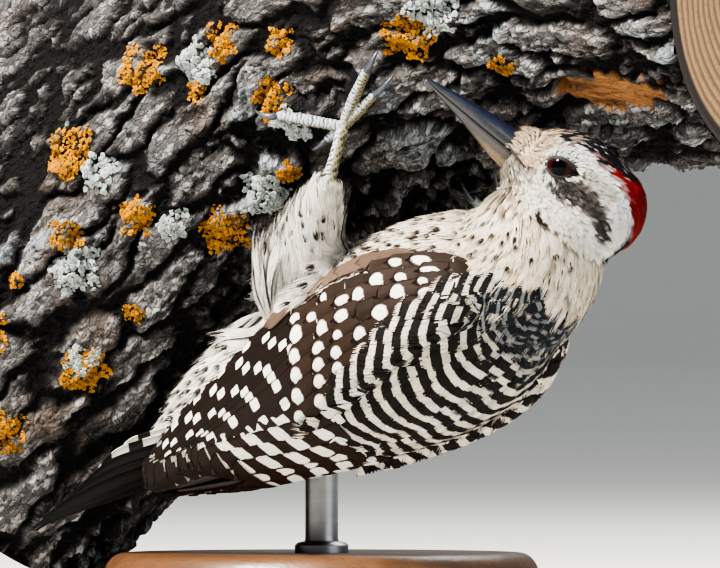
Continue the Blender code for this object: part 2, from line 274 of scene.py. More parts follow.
def plate_faces(rows: int, lanes: int, flipped: bool) -> list[list[int]]:
    """Faces of a thin plate: its two sides, then the wall round its rim.

    Args:
        rows: Rows of points along it.
        lanes: Points across it.
        flipped: Whether its lanes run the other way.

    Returns:
        Faces as point numbers, the lower side's after all of the upper side's.
    """
    count = rows * lanes
    faces = grid(rows, lanes).tolist() + (grid(rows, lanes)[:, ::-1] + count).tolist()
    rim = ([i * lanes for i in range(rows)] + [(rows - 1) * lanes + j for j in range(1, lanes)]
           + [i * lanes + lanes - 1 for i in range(rows - 2, -1, -1)]
           + list(range(lanes - 2, 0, -1)))
    faces += [[b, a, a + count, b + count] for a, b in zip(rim, rim[1:] + rim[:1])]
    return [face[::-1] for face in faces] if flipped else faces


def revolved(profile: Sequence[tuple[float, float]], sides: int
             ) -> tuple[np.ndarray, np.ndarray]:
    """Points of a solid of revolution about Z.

    Args:
        profile: Radius and height of its outline.
        sides: Points round it.

    Returns:
        The points, ring by ring, and the angles of one ring.
    """
    table = np.array(profile)
    a = np.linspace(0, 2 * np.pi, sides, endpoint=False)
    points = np.stack([table[:, :1] * np.cos(a), table[:, :1] * np.sin(a),
                       np.repeat(table[:, 1:], sides, 1)], -1)
    return points.reshape(-1, 3), a


def sided(signs: np.ndarray) -> np.ndarray:
    """Factors that put places given for the left on the side that each sign names."""
    return np.stack([np.ones(len(signs)), signs, np.ones(len(signs))], -1)


def near_eyes(h: np.ndarray) -> np.ndarray:
    """Whether places in the head's frame are close enough for the lids to move them."""
    return np.linalg.norm(h - np.array(EYES_MIDDLE), axis=1) < EYES_REACH


def points_tree(places: np.ndarray) -> KDTree:
    """A search tree of places."""
    search = KDTree(len(places))
    for i, place in enumerate(places):
        search.insert(place, i)
    search.balance()
    return search


@dataclass
class Batch:
    """Gathers patches of mesh and turns them into one object."""

    points: list[np.ndarray] = field(default_factory=list)
    faces: list[Sequence[int]] = field(default_factory=list)
    facts: dict[str, list[np.ndarray]] = field(default_factory=dict)
    count: int = 0

    def add(self, points: np.ndarray, faces: Sequence[Sequence[int]], **facts: object) -> None:
        """Adds a patch.

        Args:
            points: Rows of x, y, z in millimetres, in the world.
            faces: Corners of the faces, counted from the patch's first point.
            facts: Attributes, one row for each point or one for all of them.
        """
        for key, value in facts.items():
            rows = np.asarray(value, float)
            if rows.ndim == 0 or len(rows) != len(points):
                rows = np.broadcast_to(rows, (len(points), *rows.shape[-1:]))
            self.facts.setdefault(key, []).append(rows)
        self.points.append(points)
        self.faces.extend([[int(k) + self.count for k in face] for face in faces])
        self.count += len(points)

    def build(self, name: str, finish: bpy.types.Material | None = None) -> bpy.types.Object:
        """Makes the object.

        Args:
            name: Its name.
            finish: Its material.

        Returns:
            The object, linked to the scene.
        """
        mesh = bpy.data.meshes.new(name)
        mesh.from_pydata((np.concatenate(self.points) * MM).tolist(), [], self.faces)
        for key, parts in self.facts.items():
            rows = np.concatenate(parts).astype(np.float32)
            if key == "uv":
                chart(mesh, rows)
            else:
                write(mesh, key, rows)
        if finish:
            dress(mesh, finish)
        return linked(name, mesh)


def chart(mesh: bpy.types.Mesh, uv: np.ndarray) -> None:
    """Writes the map OFBake from one place for each point."""
    corner = np.zeros(len(mesh.loops), np.int32)
    mesh.loops.foreach_get("vertex_index", corner)
    layer = mesh.uv_layers.new(name="OFBake")
    layer.data.foreach_set("uv", uv[corner].astype(np.float32).ravel())


def dress(mesh: bpy.types.Mesh, finish: bpy.types.Material) -> None:
    """Gives a mesh its one material and shades it smooth."""
    mesh.materials.clear()
    mesh.materials.append(finish)
    mesh.shade_smooth()


def move_to(mesh: bpy.types.Mesh, places: np.ndarray) -> None:
    """Moves a mesh's points to places in millimetres."""
    mesh.vertices.foreach_set("co", (places * MM).astype(np.float32).ravel())
    mesh.update()


def write(mesh: bpy.types.Mesh, key: str, rows: np.ndarray) -> None:
    """Stores an attribute on the points of a mesh.

    Args:
        mesh: The mesh.
        key: The attribute's name.
        rows: One number, vector or colour per point.
    """
    rows = np.asarray(rows, np.float32)
    if rows.ndim == 1:
        kind, slot = "FLOAT", "value"
    else:
        kind, slot = "FLOAT_VECTOR", "vector"
    attribute = mesh.attributes.new(key, kind, "POINT")
    attribute.data.foreach_set(slot, np.ascontiguousarray(rows).ravel())


def linked(name: str, mesh: bpy.types.Mesh) -> bpy.types.Object:
    """A new object for the mesh, in the scene."""
    obj = bpy.data.objects.new(name, mesh)
    bpy.context.scene.collection.objects.link(obj)
    return obj


def settled(obj: bpy.types.Object, name: str, *helpers: bpy.types.Object) -> bpy.types.Object:
    """The evaluated mesh of an object as a plain object that takes its place.

    Args:
        obj: The object with its modifiers.
        name: The name of the new object.
        helpers: Objects to remove afterwards.

    Returns:
        The plain object.
    """
    bpy.context.view_layer.update()
    graph = bpy.context.evaluated_depsgraph_get()
    mesh = bpy.data.meshes.new_from_object(obj.evaluated_get(graph), depsgraph=graph)
    for old in (obj, *helpers):
        bpy.data.objects.remove(old)
    mesh.name = name
    return linked(name, mesh)


def coords(mesh: bpy.types.Mesh) -> np.ndarray:
    """Points of a mesh, in millimetres."""
    rows = np.zeros(len(mesh.vertices) * 3, np.float32)
    mesh.vertices.foreach_get("co", rows)
    return rows.reshape(-1, 3).astype(float) / MM


def normals(mesh: bpy.types.Mesh) -> np.ndarray:
    """Outward directions at the points of a mesh."""
    rows = np.zeros(len(mesh.vertices) * 3, np.float32)
    mesh.vertex_normals.foreach_get("vector", rows)
    return rows.reshape(-1, 3).astype(float)


def keep(obj: bpy.types.Object, slot: str, *nodes: str) -> bpy.types.Object:
    """Hands a finished piece to the frame.

    Args:
        obj: The piece.
        slot: Name of a material slot in the record; not used.
        nodes: The solids that it stands for.

    Returns:
        The piece.
    """
    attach(obj, BODY)
    if nodes:
        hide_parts(*nodes)
    count = sum(len(p.vertices) - 2 for p in obj.data.polygons)
    LOG.info("%s: %d triangles", obj.name, count)
    return obj


class Wire:
    """Short hand for building a node tree."""

    def __init__(self, tree: bpy.types.NodeTree) -> None:
        """Holds the tree and empties it."""
        self.tree = tree
        tree.nodes.clear()

    @staticmethod
    def pick(sockets: Sequence[bpy.types.NodeSocket], key: str | int) -> bpy.types.NodeSocket:
        """The socket with a number or a name, among those in use."""
        if isinstance(key, int):
            return sockets[key]
        return next(s for s in sockets if s.name == key and s.enabled)

    def feed(self, socket: bpy.types.NodeSocket, value: object) -> None:
        """Links or sets one input."""
        if isinstance(value, bpy.types.NodeSocket):
            self.tree.links.new(value, socket)
        elif isinstance(value, tuple) and socket.type == "RGBA" and len(value) == 3:
            socket.default_value = (*value, 1.0)
        else:
            socket.default_value = value

    def add(self, kind: str, inputs: dict[str | int, object] | None = None,
            out: str | int = 0, **settings: object) -> bpy.types.NodeSocket:
        """Adds a node.

        Args:
            kind: Its type.
            inputs: Values or sockets for its inputs, by name or number.
            out: Which output is wanted.
            settings: Its own properties.

        Returns:
            The output.
        """
        node = self.tree.nodes.new(kind)
        for key, value in settings.items():
            setattr(node, key, value)
        for key, value in (inputs or {}).items():
            self.feed(self.pick(node.inputs, key), value)
        if not len(node.outputs):
            return None
        return self.pick(node.outputs, out)

    def math(self, operation: str, a: object, b: object = 0.0, c: object = 0.0,
             clamp: bool = False) -> bpy.types.NodeSocket:
        """A Math node."""
        return self.add("ShaderNodeMath", {0: a, 1: b, 2: c}, operation=operation,
                        use_clamp=clamp)

    def times(self, first: object, second: object) -> bpy.types.NodeSocket:
        """The product of two values."""
        return self.math("MULTIPLY", first, second)

    def plus(self, first: object, second: object) -> bpy.types.NodeSocket:
        """The sum of two values."""
        return self.math("ADD", first, second)

    def minus(self, first: object, second: object) -> bpy.types.NodeSocket:
        """The first value less the second."""
        return self.math("SUBTRACT", first, second)

    def vector(self, operation: str, a: object, b: object = (0, 0, 0),
               scale: object = 1.0) -> bpy.types.NodeSocket:
        """A Vector Math node."""
        inputs = {0: a, 3: scale} if operation == "SCALE" else {0: a, 1: b}
        if operation == "NORMALIZE":
            inputs = {0: a}
        return self.add("ShaderNodeVectorMath", inputs, operation=operation)

    def join(self, x: object = 0.0, y: object = 0.0, z: object = 0.0) -> bpy.types.NodeSocket:
        """A vector from three numbers."""
        return self.add("ShaderNodeCombineXYZ", {0: x, 1: y, 2: z})

    def part(self, vector: object, axis: int) -> bpy.types.NodeSocket:
        """One number of a vector."""
        return self.add("ShaderNodeSeparateXYZ", {0: vector}, out=axis)

    def smooth(self, value: object, low: object, high: object, start: object = 0.0,
               end: object = 1.0) -> bpy.types.NodeSocket:
        """A smooth step between two values."""
        return self.add("ShaderNodeMapRange",
                        {"Value": value, "From Min": low, "From Max": high, "To Min": start,
                         "To Max": end}, interpolation_type="SMOOTHSTEP")

    def colour(self, share: object, a: object, b: object,
               how: str = "MIX") -> bpy.types.NodeSocket:
        """A colour mix."""
        return self.add("ShaderNodeMix", {"Factor": share, "A": a, "B": b}, out="Result",
                        data_type="RGBA", blend_type=how)

    def noise(self, vector: object, scale: object, detail: float = 3.0, rough: float = 0.55,
              out: int = 0) -> bpy.types.NodeSocket:
        """A noise texture."""
        return self.add("ShaderNodeTexNoise",
                        {"Vector": vector, "Scale": scale, "Detail": detail,
                         "Roughness": rough}, out=out)

    def cells(self, vector: object, scale: object, feature: str = "F1",
              out: str = "Distance") -> bpy.types.NodeSocket:
        """A Voronoi texture."""
        return self.add("ShaderNodeTexVoronoi", {"Vector": vector, "Scale": scale}, out=out,
                        feature=feature)

    def place(self) -> bpy.types.NodeSocket:
        """Object coordinates."""
        return self.add("ShaderNodeTexCoord", out="Object")

    def fact(self, key: str, out: str = "Vector") -> bpy.types.NodeSocket:
        """An attribute of the piece."""
        return self.add("ShaderNodeAttribute", attribute_name=key, out=out)

    def stored(self, key: str, kind: str = "FLOAT") -> bpy.types.NodeSocket:
        """A named attribute in a geometry tree."""
        return self.add("GeometryNodeInputNamedAttribute", {"Name": key}, out="Attribute",
                        data_type=kind)


def new_group(name: str, kind: str, inputs: Sequence[tuple], outputs: Sequence[tuple]
              ) -> tuple[Wire, bpy.types.Node, bpy.types.Node]:
    """An empty node group with named sockets.

    Args:
        name: Its name.
        kind: GeometryNodeTree or ShaderNodeTree.
        inputs: Name, socket type and, if wanted, default of each input.
        outputs: Name and socket type of each output.

    Returns:
        The wiring, the group's input node and its output node.
    """
    tree = bpy.data.node_groups.new(name, kind)
    wire = Wire(tree)
    for label, socket_type, *default in inputs:
        socket = tree.interface.new_socket(label, in_out="INPUT",
                                           socket_type="NodeSocket" + socket_type)
        if default:
            socket.default_value = default[0]
    for label, socket_type in outputs:
        tree.interface.new_socket(label, in_out="OUTPUT",
                                  socket_type="NodeSocket" + socket_type)
    return wire, tree.nodes.new("NodeGroupInput"), tree.nodes.new("NodeGroupOutput")


def grow(obj: bpy.types.Object, tree: bpy.types.NodeTree, **values: object) -> None:
    """Puts a Geometry Nodes modifier on an object.

    Args:
        obj: The object.
        tree: The tree.
        values: Its inputs, by name with underscores for spaces.
    """
    modifier = obj.modifiers.new(tree.name, "NODES")
    modifier.node_group = tree
    names = {s.name: s.identifier for s in tree.interface.items_tree
             if getattr(s, "in_out", "") == "INPUT"}
    for key, value in values.items():
        modifier[names[key.replace("_", " ")]] = value


def new_material(name: str, rough: float, **sockets: object
                 ) -> tuple[bpy.types.Material, Wire, bpy.types.Node]:
    """A material with a Principled shader.

    Args:
        name: Its name.
        rough: Its roughness.
        sockets: Other constants, by input name with underscores for spaces.

    Returns:
        The material, its wiring and the shader node.
    """
    made = bpy.data.materials.new(name)
    made.use_nodes = True
    wire = Wire(made.node_tree)
    shader = made.node_tree.nodes.new("ShaderNodeBsdfPrincipled")
    output = made.node_tree.nodes.new("ShaderNodeOutputMaterial")
    made.node_tree.links.new(shader.outputs[0], output.inputs[0])
    shader.inputs["Roughness"].default_value = rough
    for key, value in sockets.items():
        wire.feed(shader.inputs[key.replace("_", " ")], value)
    return made, wire, shader


def relief(wire: Wire, shader: bpy.types.Node, height: bpy.types.NodeSocket, depth: float
           ) -> None:
    """Gives a shader a bump.

    Args:
        wire: The material's wiring.
        shader: The shader.
        height: The height, 0 to 1.
        depth: What a height of 1 stands for, in millimetres.
    """
    bump = wire.add("ShaderNodeBump", {"Height": height, "Distance": depth * MM},
                    out="Normal")
    wire.feed(shader.inputs["Normal"], bump)


def barb_group() -> bpy.types.NodeTree:
    """The group that draws barbs and a feather's marking.

    A marking is a row of rounded boxes along the feather: Spot holds its half length in
    beats, its distance from the shaft and its half width; Beat the phase, the beats over
    the feather's length and how square it is. A half width below 0 is a bar right across,
    and the distance then tells how far it leans.

    Returns:
        The group, with the outputs Mask and Barb.
    """
    wire, given, result = new_group(
        "Barbs", "ShaderNodeTree",
        (("Along", "Float"), ("Across", "Float"), ("Beat", "Vector"), ("Spot", "Vector"),
         ("Ragged", "Float", 0.1), ("Fineness", "Float", 60.0), ("Wobble", "Float", 0.0)),
        (("Mask", "Float"), ("Barb", "Float")))
    along, across, beat, spot, ragged, fine, wobble = (given.outputs[k] for k in range(7))
    side = wire.math("ABSOLUTE", across)
    slant = wire.minus(along, wire.times(side, 0.35))
    seed = wire.times(wire.part(beat, 0), 3.7)
    barb = wire.noise(wire.join(wire.times(slant, fine), across, seed), 1.0, 2.0)
    loose = wire.times(wire.minus(barb, 0.5), ragged)
    full = wire.math("LESS_THAN", wire.part(spot, 2), 0.0)
    lean = wire.times(wire.times(wire.part(spot, 1), across), full)
    phase = wire.plus(wire.math("MULTIPLY_ADD", along, wire.part(beat, 1),
                                wire.part(beat, 0)), wire.plus(loose, lean))
    off = wire.math("ABSOLUTE", wire.minus(wire.math("FRACT", phase), 0.5))
    aside = wire.math("ABSOLUTE", wire.minus(side, wire.part(spot, 1)))
    power = wire.math("MULTIPLY_ADD", wire.part(beat, 2), 4.0, 2.0)
    first = wire.math("POWER", wire.math("DIVIDE", off, wire.part(spot, 0)), power)
    second = wire.math("POWER", wire.math("DIVIDE", aside, wire.part(spot, 2)), power)
    second = wire.times(second, wire.minus(1.0, full))
    shape = wire.noise(wire.join(wire.times(phase, 2.3), wire.times(
        across, 1.5), wire.times(along, 2.0)), 1.0, 2.0)
    uneven = wire.times(wire.minus(shape, 0.5), wobble)
    mask = wire.smooth(wire.plus(wire.plus(first, second), uneven), 1.35, 0.75)
    wire.feed(result.inputs[0], mask)
    wire.feed(result.inputs[1], barb)
    return wire.tree


def mottle_group() -> bpy.types.NodeTree:
    """The group of uneven colour and fine grain that horn, skin, wood and metal share.

    Returns:
        The group, with the outputs Broad and Fine.
    """
    wire, given, result = new_group(
        "Mottle", "ShaderNodeTree",
        (("Place", "Vector"), ("Broad Scale", "Float", 100.0), ("Fine Scale", "Float", 1000.0)),
        (("Broad", "Float"), ("Fine", "Float")))
    place, broad, fine = (given.outputs[k] for k in range(3))
    wire.feed(result.inputs[0], wire.noise(place, broad, 4.0, 0.6))
    wire.feed(result.inputs[1], wire.noise(place, fine, 3.0, 0.6))
    return wire.tree


def use(wire: Wire, tree: bpy.types.NodeTree, **values: object) -> bpy.types.Node:
    """Places a shader group.

    Args:
        wire: The material's wiring.
        tree: The group.
        values: Its inputs, by name with underscores for spaces.

    Returns:
        The group's node.
    """
    node = wire.tree.nodes.new("ShaderNodeGroup")
    node.node_tree = tree
    for key, value in values.items():
        wire.feed(node.inputs[key.replace("_", " ")], value)
    return node


@dataclass(frozen=True)
class PlumageFinish:
    """Feathers: their own tint and marking, barbs, and a darker root, grey down and painted
    shade.
    """

    name: str
    rough: float = 0.72
    ragged: float = 0.16
    fineness: float = 60.0
    streak: float = 0.34
    # Brightness at the root: the grey down of real feathers together with painted shade.
    root_shade: float = 0.62
    relief_mm: float = 0.12
    wobble: float = 0.0

    def build(self, barbs: bpy.types.NodeTree) -> bpy.types.Material:
        """Makes the material.

        Args:
            barbs: The group that draws barbs and markings.

        Returns:
            The material.
        """
        made, wire, shader = new_material(self.name, self.rough, Specular_IOR_Level=0.2)
        along, across = wire.fact("along", "Fac"), wire.fact("across", "Fac")
        barb = use(wire, barbs, Along=along, Across=across, Beat=wire.fact("beat"),
                   Spot=wire.fact("spot"), Ragged=self.ragged, Fineness=self.fineness,
                   Wobble=self.wobble)
        base = wire.colour(barb.outputs["Mask"], wire.fact("tint"), wire.fact("mark"))
        light = wire.smooth(barb.outputs["Barb"], 0.25, 0.75, 1 - self.streak, 1.0)
        # Darker towards the root: partly grey down, partly painted shade where the root lies
        # hidden under other feathers.
        shade = wire.smooth(along, 0.1, 0.85, self.root_shade, 1.0)
        tone = wire.times(light, shade)
        wire.feed(shader.inputs["Base Color"],
                  wire.colour(1.0, base, wire.join(tone, tone, tone), "MULTIPLY"))
        relief(wire, shader, barb.outputs["Barb"], self.relief_mm)
        return made


@dataclass(frozen=True)
class SkinFinish:
    """The down over the skin, in the plumage's colours."""

    name: str = "down_over_skin"

    def build(self, mottle: bpy.types.NodeTree) -> bpy.types.Material:
        """Makes the material from the mottling group."""
        made, wire, shader = new_material(self.name, 0.85, Sheen_Weight=0.2)
        grain = use(wire, mottle, Place=wire.place(), Broad_Scale=160.0, Fine_Scale=1800.0)
        dark = wire.colour(0.55, wire.fact("tint"), (0.12, 0.11, 0.11), "MULTIPLY")
        wire.feed(shader.inputs["Base Color"],
                  wire.colour(grain.outputs["Fine"], dark, wire.fact("tint")))
        relief(wire, shader, grain.outputs["Fine"], 0.25)
        return made


@dataclass(frozen=True)
class HornFinish:
    """Bill and claws: smooth horn with fine lines along it, paler or darker by tint."""

    name: str
    rough: float = 0.3
    coat: float = 0.12
    lines: float = 1400.0

    def build(self, mottle: bpy.types.NodeTree) -> bpy.types.Material:
        """Makes the material from the mottling group."""
        made, wire, shader = new_material(self.name, self.rough, Coat_Weight=self.coat,
                                          Coat_Roughness=0.2)
        lines = wire.noise(wire.vector("MULTIPLY", wire.fact("horn"), (40.0, 1.0, 1.0)),
                           self.lines * MM, 3.0)
        grain = use(wire, mottle, Place=wire.place(), Broad_Scale=260.0,
                    Fine_Scale=self.lines)
        worn = wire.colour(wire.smooth(grain.outputs["Broad"], 0.35, 0.75), wire.fact("tint"),
                           wire.colour(0.06, wire.fact("tint"), (0.20, 0.21, 0.23)))
        wire.feed(shader.inputs["Base Color"],
                  wire.colour(wire.smooth(lines, 0.3, 0.7, 0.0, 0.35), worn,
                              (0.012, 0.012, 0.015)))
        wire.feed(shader.inputs["Roughness"],
                  wire.smooth(grain.outputs["Fine"], 0.3, 0.8, self.rough, self.rough + 0.2))
        relief(wire, shader, lines, 0.08)
        return made


@dataclass(frozen=True)
class EyeFinish:
    """The eyeball: black pupil, red-brown iris and a dark rim under a wet cornea."""

    name: str = "eyeball"
    pupil: Colour = (0.002, 0.002, 0.003)
    iris: Colour = (0.011, 0.0025, 0.0025)
    rim: Colour = (0.006, 0.004, 0.004)

    def build(self, mottle: bpy.types.NodeTree) -> bpy.types.Material:
        """Makes the material from the mottling group."""
        made, wire, shader = new_material(self.name, 0.10, Coat_Weight=0.02,
                                          Coat_Roughness=0.03, Specular_IOR_Level=0.10)
        away = wire.fact("gaze", "Fac")
        grain = use(wire, mottle, Place=wire.place(), Broad_Scale=700.0, Fine_Scale=2600.0)
        flecked = wire.colour(grain.outputs["Fine"], self.iris, (0.050, 0.007, 0.006))
        ring = wire.colour(wire.smooth(away, 0.46, 0.55), self.pupil, flecked)
        wire.feed(shader.inputs["Base Color"],
                  wire.colour(wire.smooth(away, 0.78, 0.94), ring, self.rim))
        return made


@dataclass(frozen=True)
class ScaleFinish:
    """Bare skin of feet and lids: grey scales with pale edges and dark seams."""

    name: str
    pale: Colour
    dark: Colour
    under: Colour
    rough: float = 0.5

    def build(self, mottle: bpy.types.NodeTree) -> bpy.types.Material:
        """Makes the material from the mottling group."""
        made, wire, shader = new_material(self.name, self.rough, Specular_IOR_Level=0.4)
        grain = use(wire, mottle, Place=wire.place(), Broad_Scale=330.0, Fine_Scale=2400.0)
        ridge = wire.smooth(wire.fact("ridge", "Fac"), 0.16, 0.72)
        sole = wire.plus(wire.fact("under", "Fac"), wire.times(
            wire.minus(grain.outputs["Broad"], 0.5), 0.9))
        patchy = wire.colour(wire.smooth(sole, 0.25, 0.75), self.pale, self.under)
        wire.feed(shader.inputs["Base Color"], wire.colour(ridge, self.dark, patchy))
        wire.feed(shader.inputs["Roughness"],
                  wire.smooth(grain.outputs["Fine"], 0.3, 0.7, self.rough, self.rough + 0.2))
        relief(wire, shader, grain.outputs["Fine"], 0.08)
        return made


@dataclass(frozen=True)
class BarkFinish:
    """Furrowed bark: dark cracks with painted shade in furrows and hole, grey weathered plates,
    bleached flakes and algae.
    """

    name: str = "furrowed_bark"
    # Near black: the fissures' own dark colour, and the painted shade of furrows and the hole.
    crack_and_shade: Colour = (0.009, 0.0085, 0.009)
    plate: Colour = (0.100, 0.095, 0.096)
    bleached: Colour = (0.45, 0.435, 0.44)
    earthy: Colour = (0.125, 0.082, 0.055)
    crust: Colour = (0.34, 0.40, 0.43)
    bare: Colour = (0.44, 0.215, 0.090)

    def build(self, mottle: bpy.types.NodeTree) -> bpy.types.Material:
        """Makes the material from the mottling group."""
        made, wire, shader = new_material(self.name, 0.9, Specular_IOR_Level=0.2)
        grain = use(wire, mottle, Place=wire.place(), Broad_Scale=42.0, Fine_Scale=900.0)
        along = wire.fact("bark_at")
        streak = wire.noise(wire.vector("MULTIPLY", along, (1.0, 1.0, 0.22)), 3.2, 5.0, 0.7)
        chips = wire.vector("MULTIPLY", wire.vector("ADD", along, wire.vector(
            "SCALE", wire.noise(along, 5.0, 3.0, out=1), scale=0.16)), (1.0, 1.0, 0.42))
        chip = wire.part(wire.cells(chips, 9.0, out="Color"), 0)
        seam = wire.smooth(wire.cells(chips, 9.0, "DISTANCE_TO_EDGE"), 0.0, 0.16)
        speck = wire.noise(along, 26.0, 3.0, 0.7)
        raised = wire.fact("raised", "Fac")
        flake = wire.fact("flake", "Fac")
        tone = wire.plus(wire.times(flake, 0.55), wire.times(chip, 0.62))
        tone = wire.plus(tone, wire.times(wire.minus(speck, 0.5), 1.1))
        weather = wire.colour(wire.smooth(tone, 0.34, 0.98), self.plate, self.bleached)
        warm = wire.colour(wire.smooth(grain.outputs["Broad"], 0.5, 0.72, 0.0, 0.6), weather,
                           self.earthy)
        patch = wire.times(wire.smooth(wire.noise(along, 0.55, 4.0, 0.6), 0.53, 0.66),
                           wire.smooth(tone, 0.30, 0.62))
        crusted = wire.colour(wire.times(patch, 0.8), warm, self.crust)
        # Dark cracks along the bump's low streaks and cell seams: fissure colour and painted
        # shade together.
        lined = wire.colour(wire.smooth(streak, 0.53, 0.36, 0.0, 0.85), crusted, self.crack_and_shade)
        lined = wire.colour(wire.times(wire.minus(1.0, seam), 0.45), lined, self.crack_and_shade)
        # Painted shade: near black wherever the sheet lies low, in the furrows and in the hole.
        deep = wire.colour(wire.smooth(raised, 0.60, 0.20), lined, self.crack_and_shade)
        peeled = wire.colour(wire.smooth(streak, 0.35, 0.65), (0.16, 0.075, 0.035), self.bare)
        wire.feed(shader.inputs["Base Color"],
                  wire.colour(wire.fact("peeled", "Fac"), deep, peeled))
        wire.feed(shader.inputs["Roughness"],
                  wire.smooth(grain.outputs["Fine"], 0.3, 0.7, 0.78, 0.97))
        height = wire.plus(wire.times(streak, 0.9), wire.times(wire.times(chip, seam), 0.55))
        height = wire.plus(height, wire.times(speck, 0.5))
        relief(wire, shader, height, 1.2)
        return made


@dataclass(frozen=True)
class LichenFinish:
    """A lichen crust, paler on its raised lobes."""

    name: str
    lobe: Colour
    deep: Colour

    def build(self, mottle: bpy.types.NodeTree) -> bpy.types.Material:
        """Makes the material from the mottling group."""
        made, wire, shader = new_material(self.name, 0.85, Specular_IOR_Level=0.2)
        grain = use(wire, mottle, Place=wire.place(), Broad_Scale=300.0, Fine_Scale=1600.0)
        tone = wire.smooth(grain.outputs["Broad"], 0.3, 0.68)
        rim = wire.smooth(wire.fact("lobe", "Fac"), 0.2, 0.8)
        wire.feed(shader.inputs["Base Color"],
                  wire.colour(wire.times(tone, rim), self.deep, self.lobe))
        relief(wire, shader, grain.outputs["Fine"], 0.3)
        return made


@dataclass(frozen=True)
class StandWoodFinish:
    """Dark oiled wood with rings turned on a lathe."""

    name: str = "turned_walnut"

    def build(self, mottle: bpy.types.NodeTree) -> bpy.types.Material:
        """Makes the material from the mottling group."""
        made, wire, shader = new_material(self.name, 0.38, Coat_Weight=0.15,
                                          Coat_Roughness=0.3)
        grain = use(wire, mottle, Place=wire.vector("MULTIPLY", wire.place(), (1.0, 9.0, 9.0)),
                    Broad_Scale=26.0, Fine_Scale=240.0)
        dark = wire.colour(grain.outputs["Broad"], (0.050, 0.022, 0.010),
                           (0.185, 0.090, 0.042))
        wire.feed(shader.inputs["Base Color"],
                  wire.colour(wire.smooth(grain.outputs["Fine"], 0.52, 0.72, 0.0, 0.6), dark,
                              (0.030, 0.013, 0.007)))
        wire.feed(shader.inputs["Roughness"],
                  wire.smooth(grain.outputs["Fine"], 0.3, 0.7, 0.30, 0.48))
        relief(wire, shader, grain.outputs["Fine"], 0.08)
        return made


@dataclass(frozen=True)
class StandMetalFinish:
    """Brushed dark steel."""

    name: str = "brushed_steel"

    def build(self, mottle: bpy.types.NodeTree) -> bpy.types.Material:
        """Makes the material from the mottling group."""
        made, wire, shader = new_material(self.name, 0.35, Metallic=1.0)
        grain = use(wire, mottle, Place=wire.vector("MULTIPLY", wire.place(), (0.1, 0.1, 3.0)),
                    Broad_Scale=90.0, Fine_Scale=2500.0)
        wire.feed(shader.inputs["Base Color"],
                  wire.colour(grain.outputs["Broad"], (0.20, 0.20, 0.21), (0.34, 0.34, 0.35)))
        wire.feed(shader.inputs["Roughness"],
                  wire.smooth(grain.outputs["Fine"], 0.3, 0.7, 0.28, 0.46))
        relief(wire, shader, grain.outputs["Fine"], 0.03)
        return made


@dataclass(frozen=True)
class FloorFinish:
    """A matt pale floor that runs up into the backdrop."""

    name: str = "pale_floor"

    def build(self, mottle: bpy.types.NodeTree) -> bpy.types.Material:
        """Makes the material from the mottling group."""
        made, wire, shader = new_material(self.name, 0.9)
        grain = use(wire, mottle, Place=wire.place(), Broad_Scale=2.0, Fine_Scale=300.0)
        wire.feed(shader.inputs["Base Color"],
                  wire.colour(grain.outputs["Broad"], (0.70, 0.70, 0.68), (0.74, 0.74, 0.72)))
        return made


@dataclass
class Form:
    """The closed smooth form round some of the solids: what the coat lies on."""

    voxel: float = 0.7
    swell: float = 0.35
    passes: int = 10
    bill_kept: float = 19.0
    crown: tuple[float, float, float, float] = (-3.5, 8.5, 2.1, 4.0)

    def build(self, name: str, nodes: Sequence[str]) -> bpy.types.Object:
        """Joins copies of the solids and smooths their seams away.

        Args:
            name: Name of the form.
            nodes: The solids.

        Returns:
            The form, hidden, with its directions stored as the attribute facing.
        """
        whole = bmesh.new()
        for node in nodes:
            bm = bmesh.new()
            bm.from_mesh(frame["nodes"][node].data)
            bmesh.ops.remove_doubles(bm, verts=bm.verts, dist=0.02 * MM)
            if node.startswith("bill"):
                self.shorten(bm)
            bm.normal_update()
            for vert in bm.verts:
                vert.co += vert.normal * self.swell * MM
            part = bpy.data.meshes.new("part")
            bm.to_mesh(part)
            bm.free()
            whole.from_mesh(part)
        mesh = bpy.data.meshes.new(name)
        whole.to_mesh(mesh)
        whole.free()
        obj = linked(name, mesh)
        remesh = obj.modifiers.new("join", "REMESH")
        remesh.mode = "VOXEL"
        remesh.voxel_size = self.voxel * MM
        smooth = obj.modifiers.new("smooth", "SMOOTH")
        smooth.factor = 0.5
        smooth.iterations = self.passes
        obj = settled(obj, name)
        self.flatten(obj.data)
        write(obj.data, "facing", normals(obj.data))
        obj.hide_render = True
        return obj

    def flatten(self, mesh: bpy.types.Mesh) -> None:
        """Lowers the crown by the depth of its sleek feathers."""
        places, facing = coords(mesh), normals(mesh)
        h = to_local(places, HEAD)
        middle, wide, deep, low = self.crown
        share = np.exp(-((h[:, 0] - middle) / wide) ** 2) * step(low, low + 8.0, h[:, 2])
        share *= np.abs(h[:, 1]) < 14
        move_to(mesh, places - facing * (deep * share)[:, None])

    def shorten(self, bm: bmesh.types.BMesh) -> None:
        """Cuts the bill off in front of the face."""
        root = HEAD @ Vector((self.bill_kept, 0, -3.0)) * MM
        way = HEAD.to_3x3() @ Vector((1, 0, 0))
        geometry = list(bm.verts) + list(bm.edges) + list(bm.faces)
        bmesh.ops.bisect_plane(bm, geom=geometry, plane_co=root, plane_no=way,
                               clear_outer=True)
        bmesh.ops.holes_fill(bm, edges=[e for e in bm.edges if e.is_boundary])


def tree_of(obj: bpy.types.Object) -> BVHTree:
    """A search tree of an object's mesh, in millimetres."""
    points = coords(obj.data)
    return BVHTree.FromPolygons(points.tolist(), [tuple(p.vertices) for p in obj.data.polygons])


class Zone(Enum):
    """Regions of the plumage."""

    FACE = 0
    CROWN = 1
    THROAT = 2
    NECK = 3
    BREAST = 4
    BELLY = 5
    THIGH = 6
    BACK = 7


@dataclass(frozen=True)
class Growth:
    """Feathers of one zone, in millimetres."""

    space: float
    length: float
    width: float
    depth: float
    lift: float
    fluff: float
    cut: int


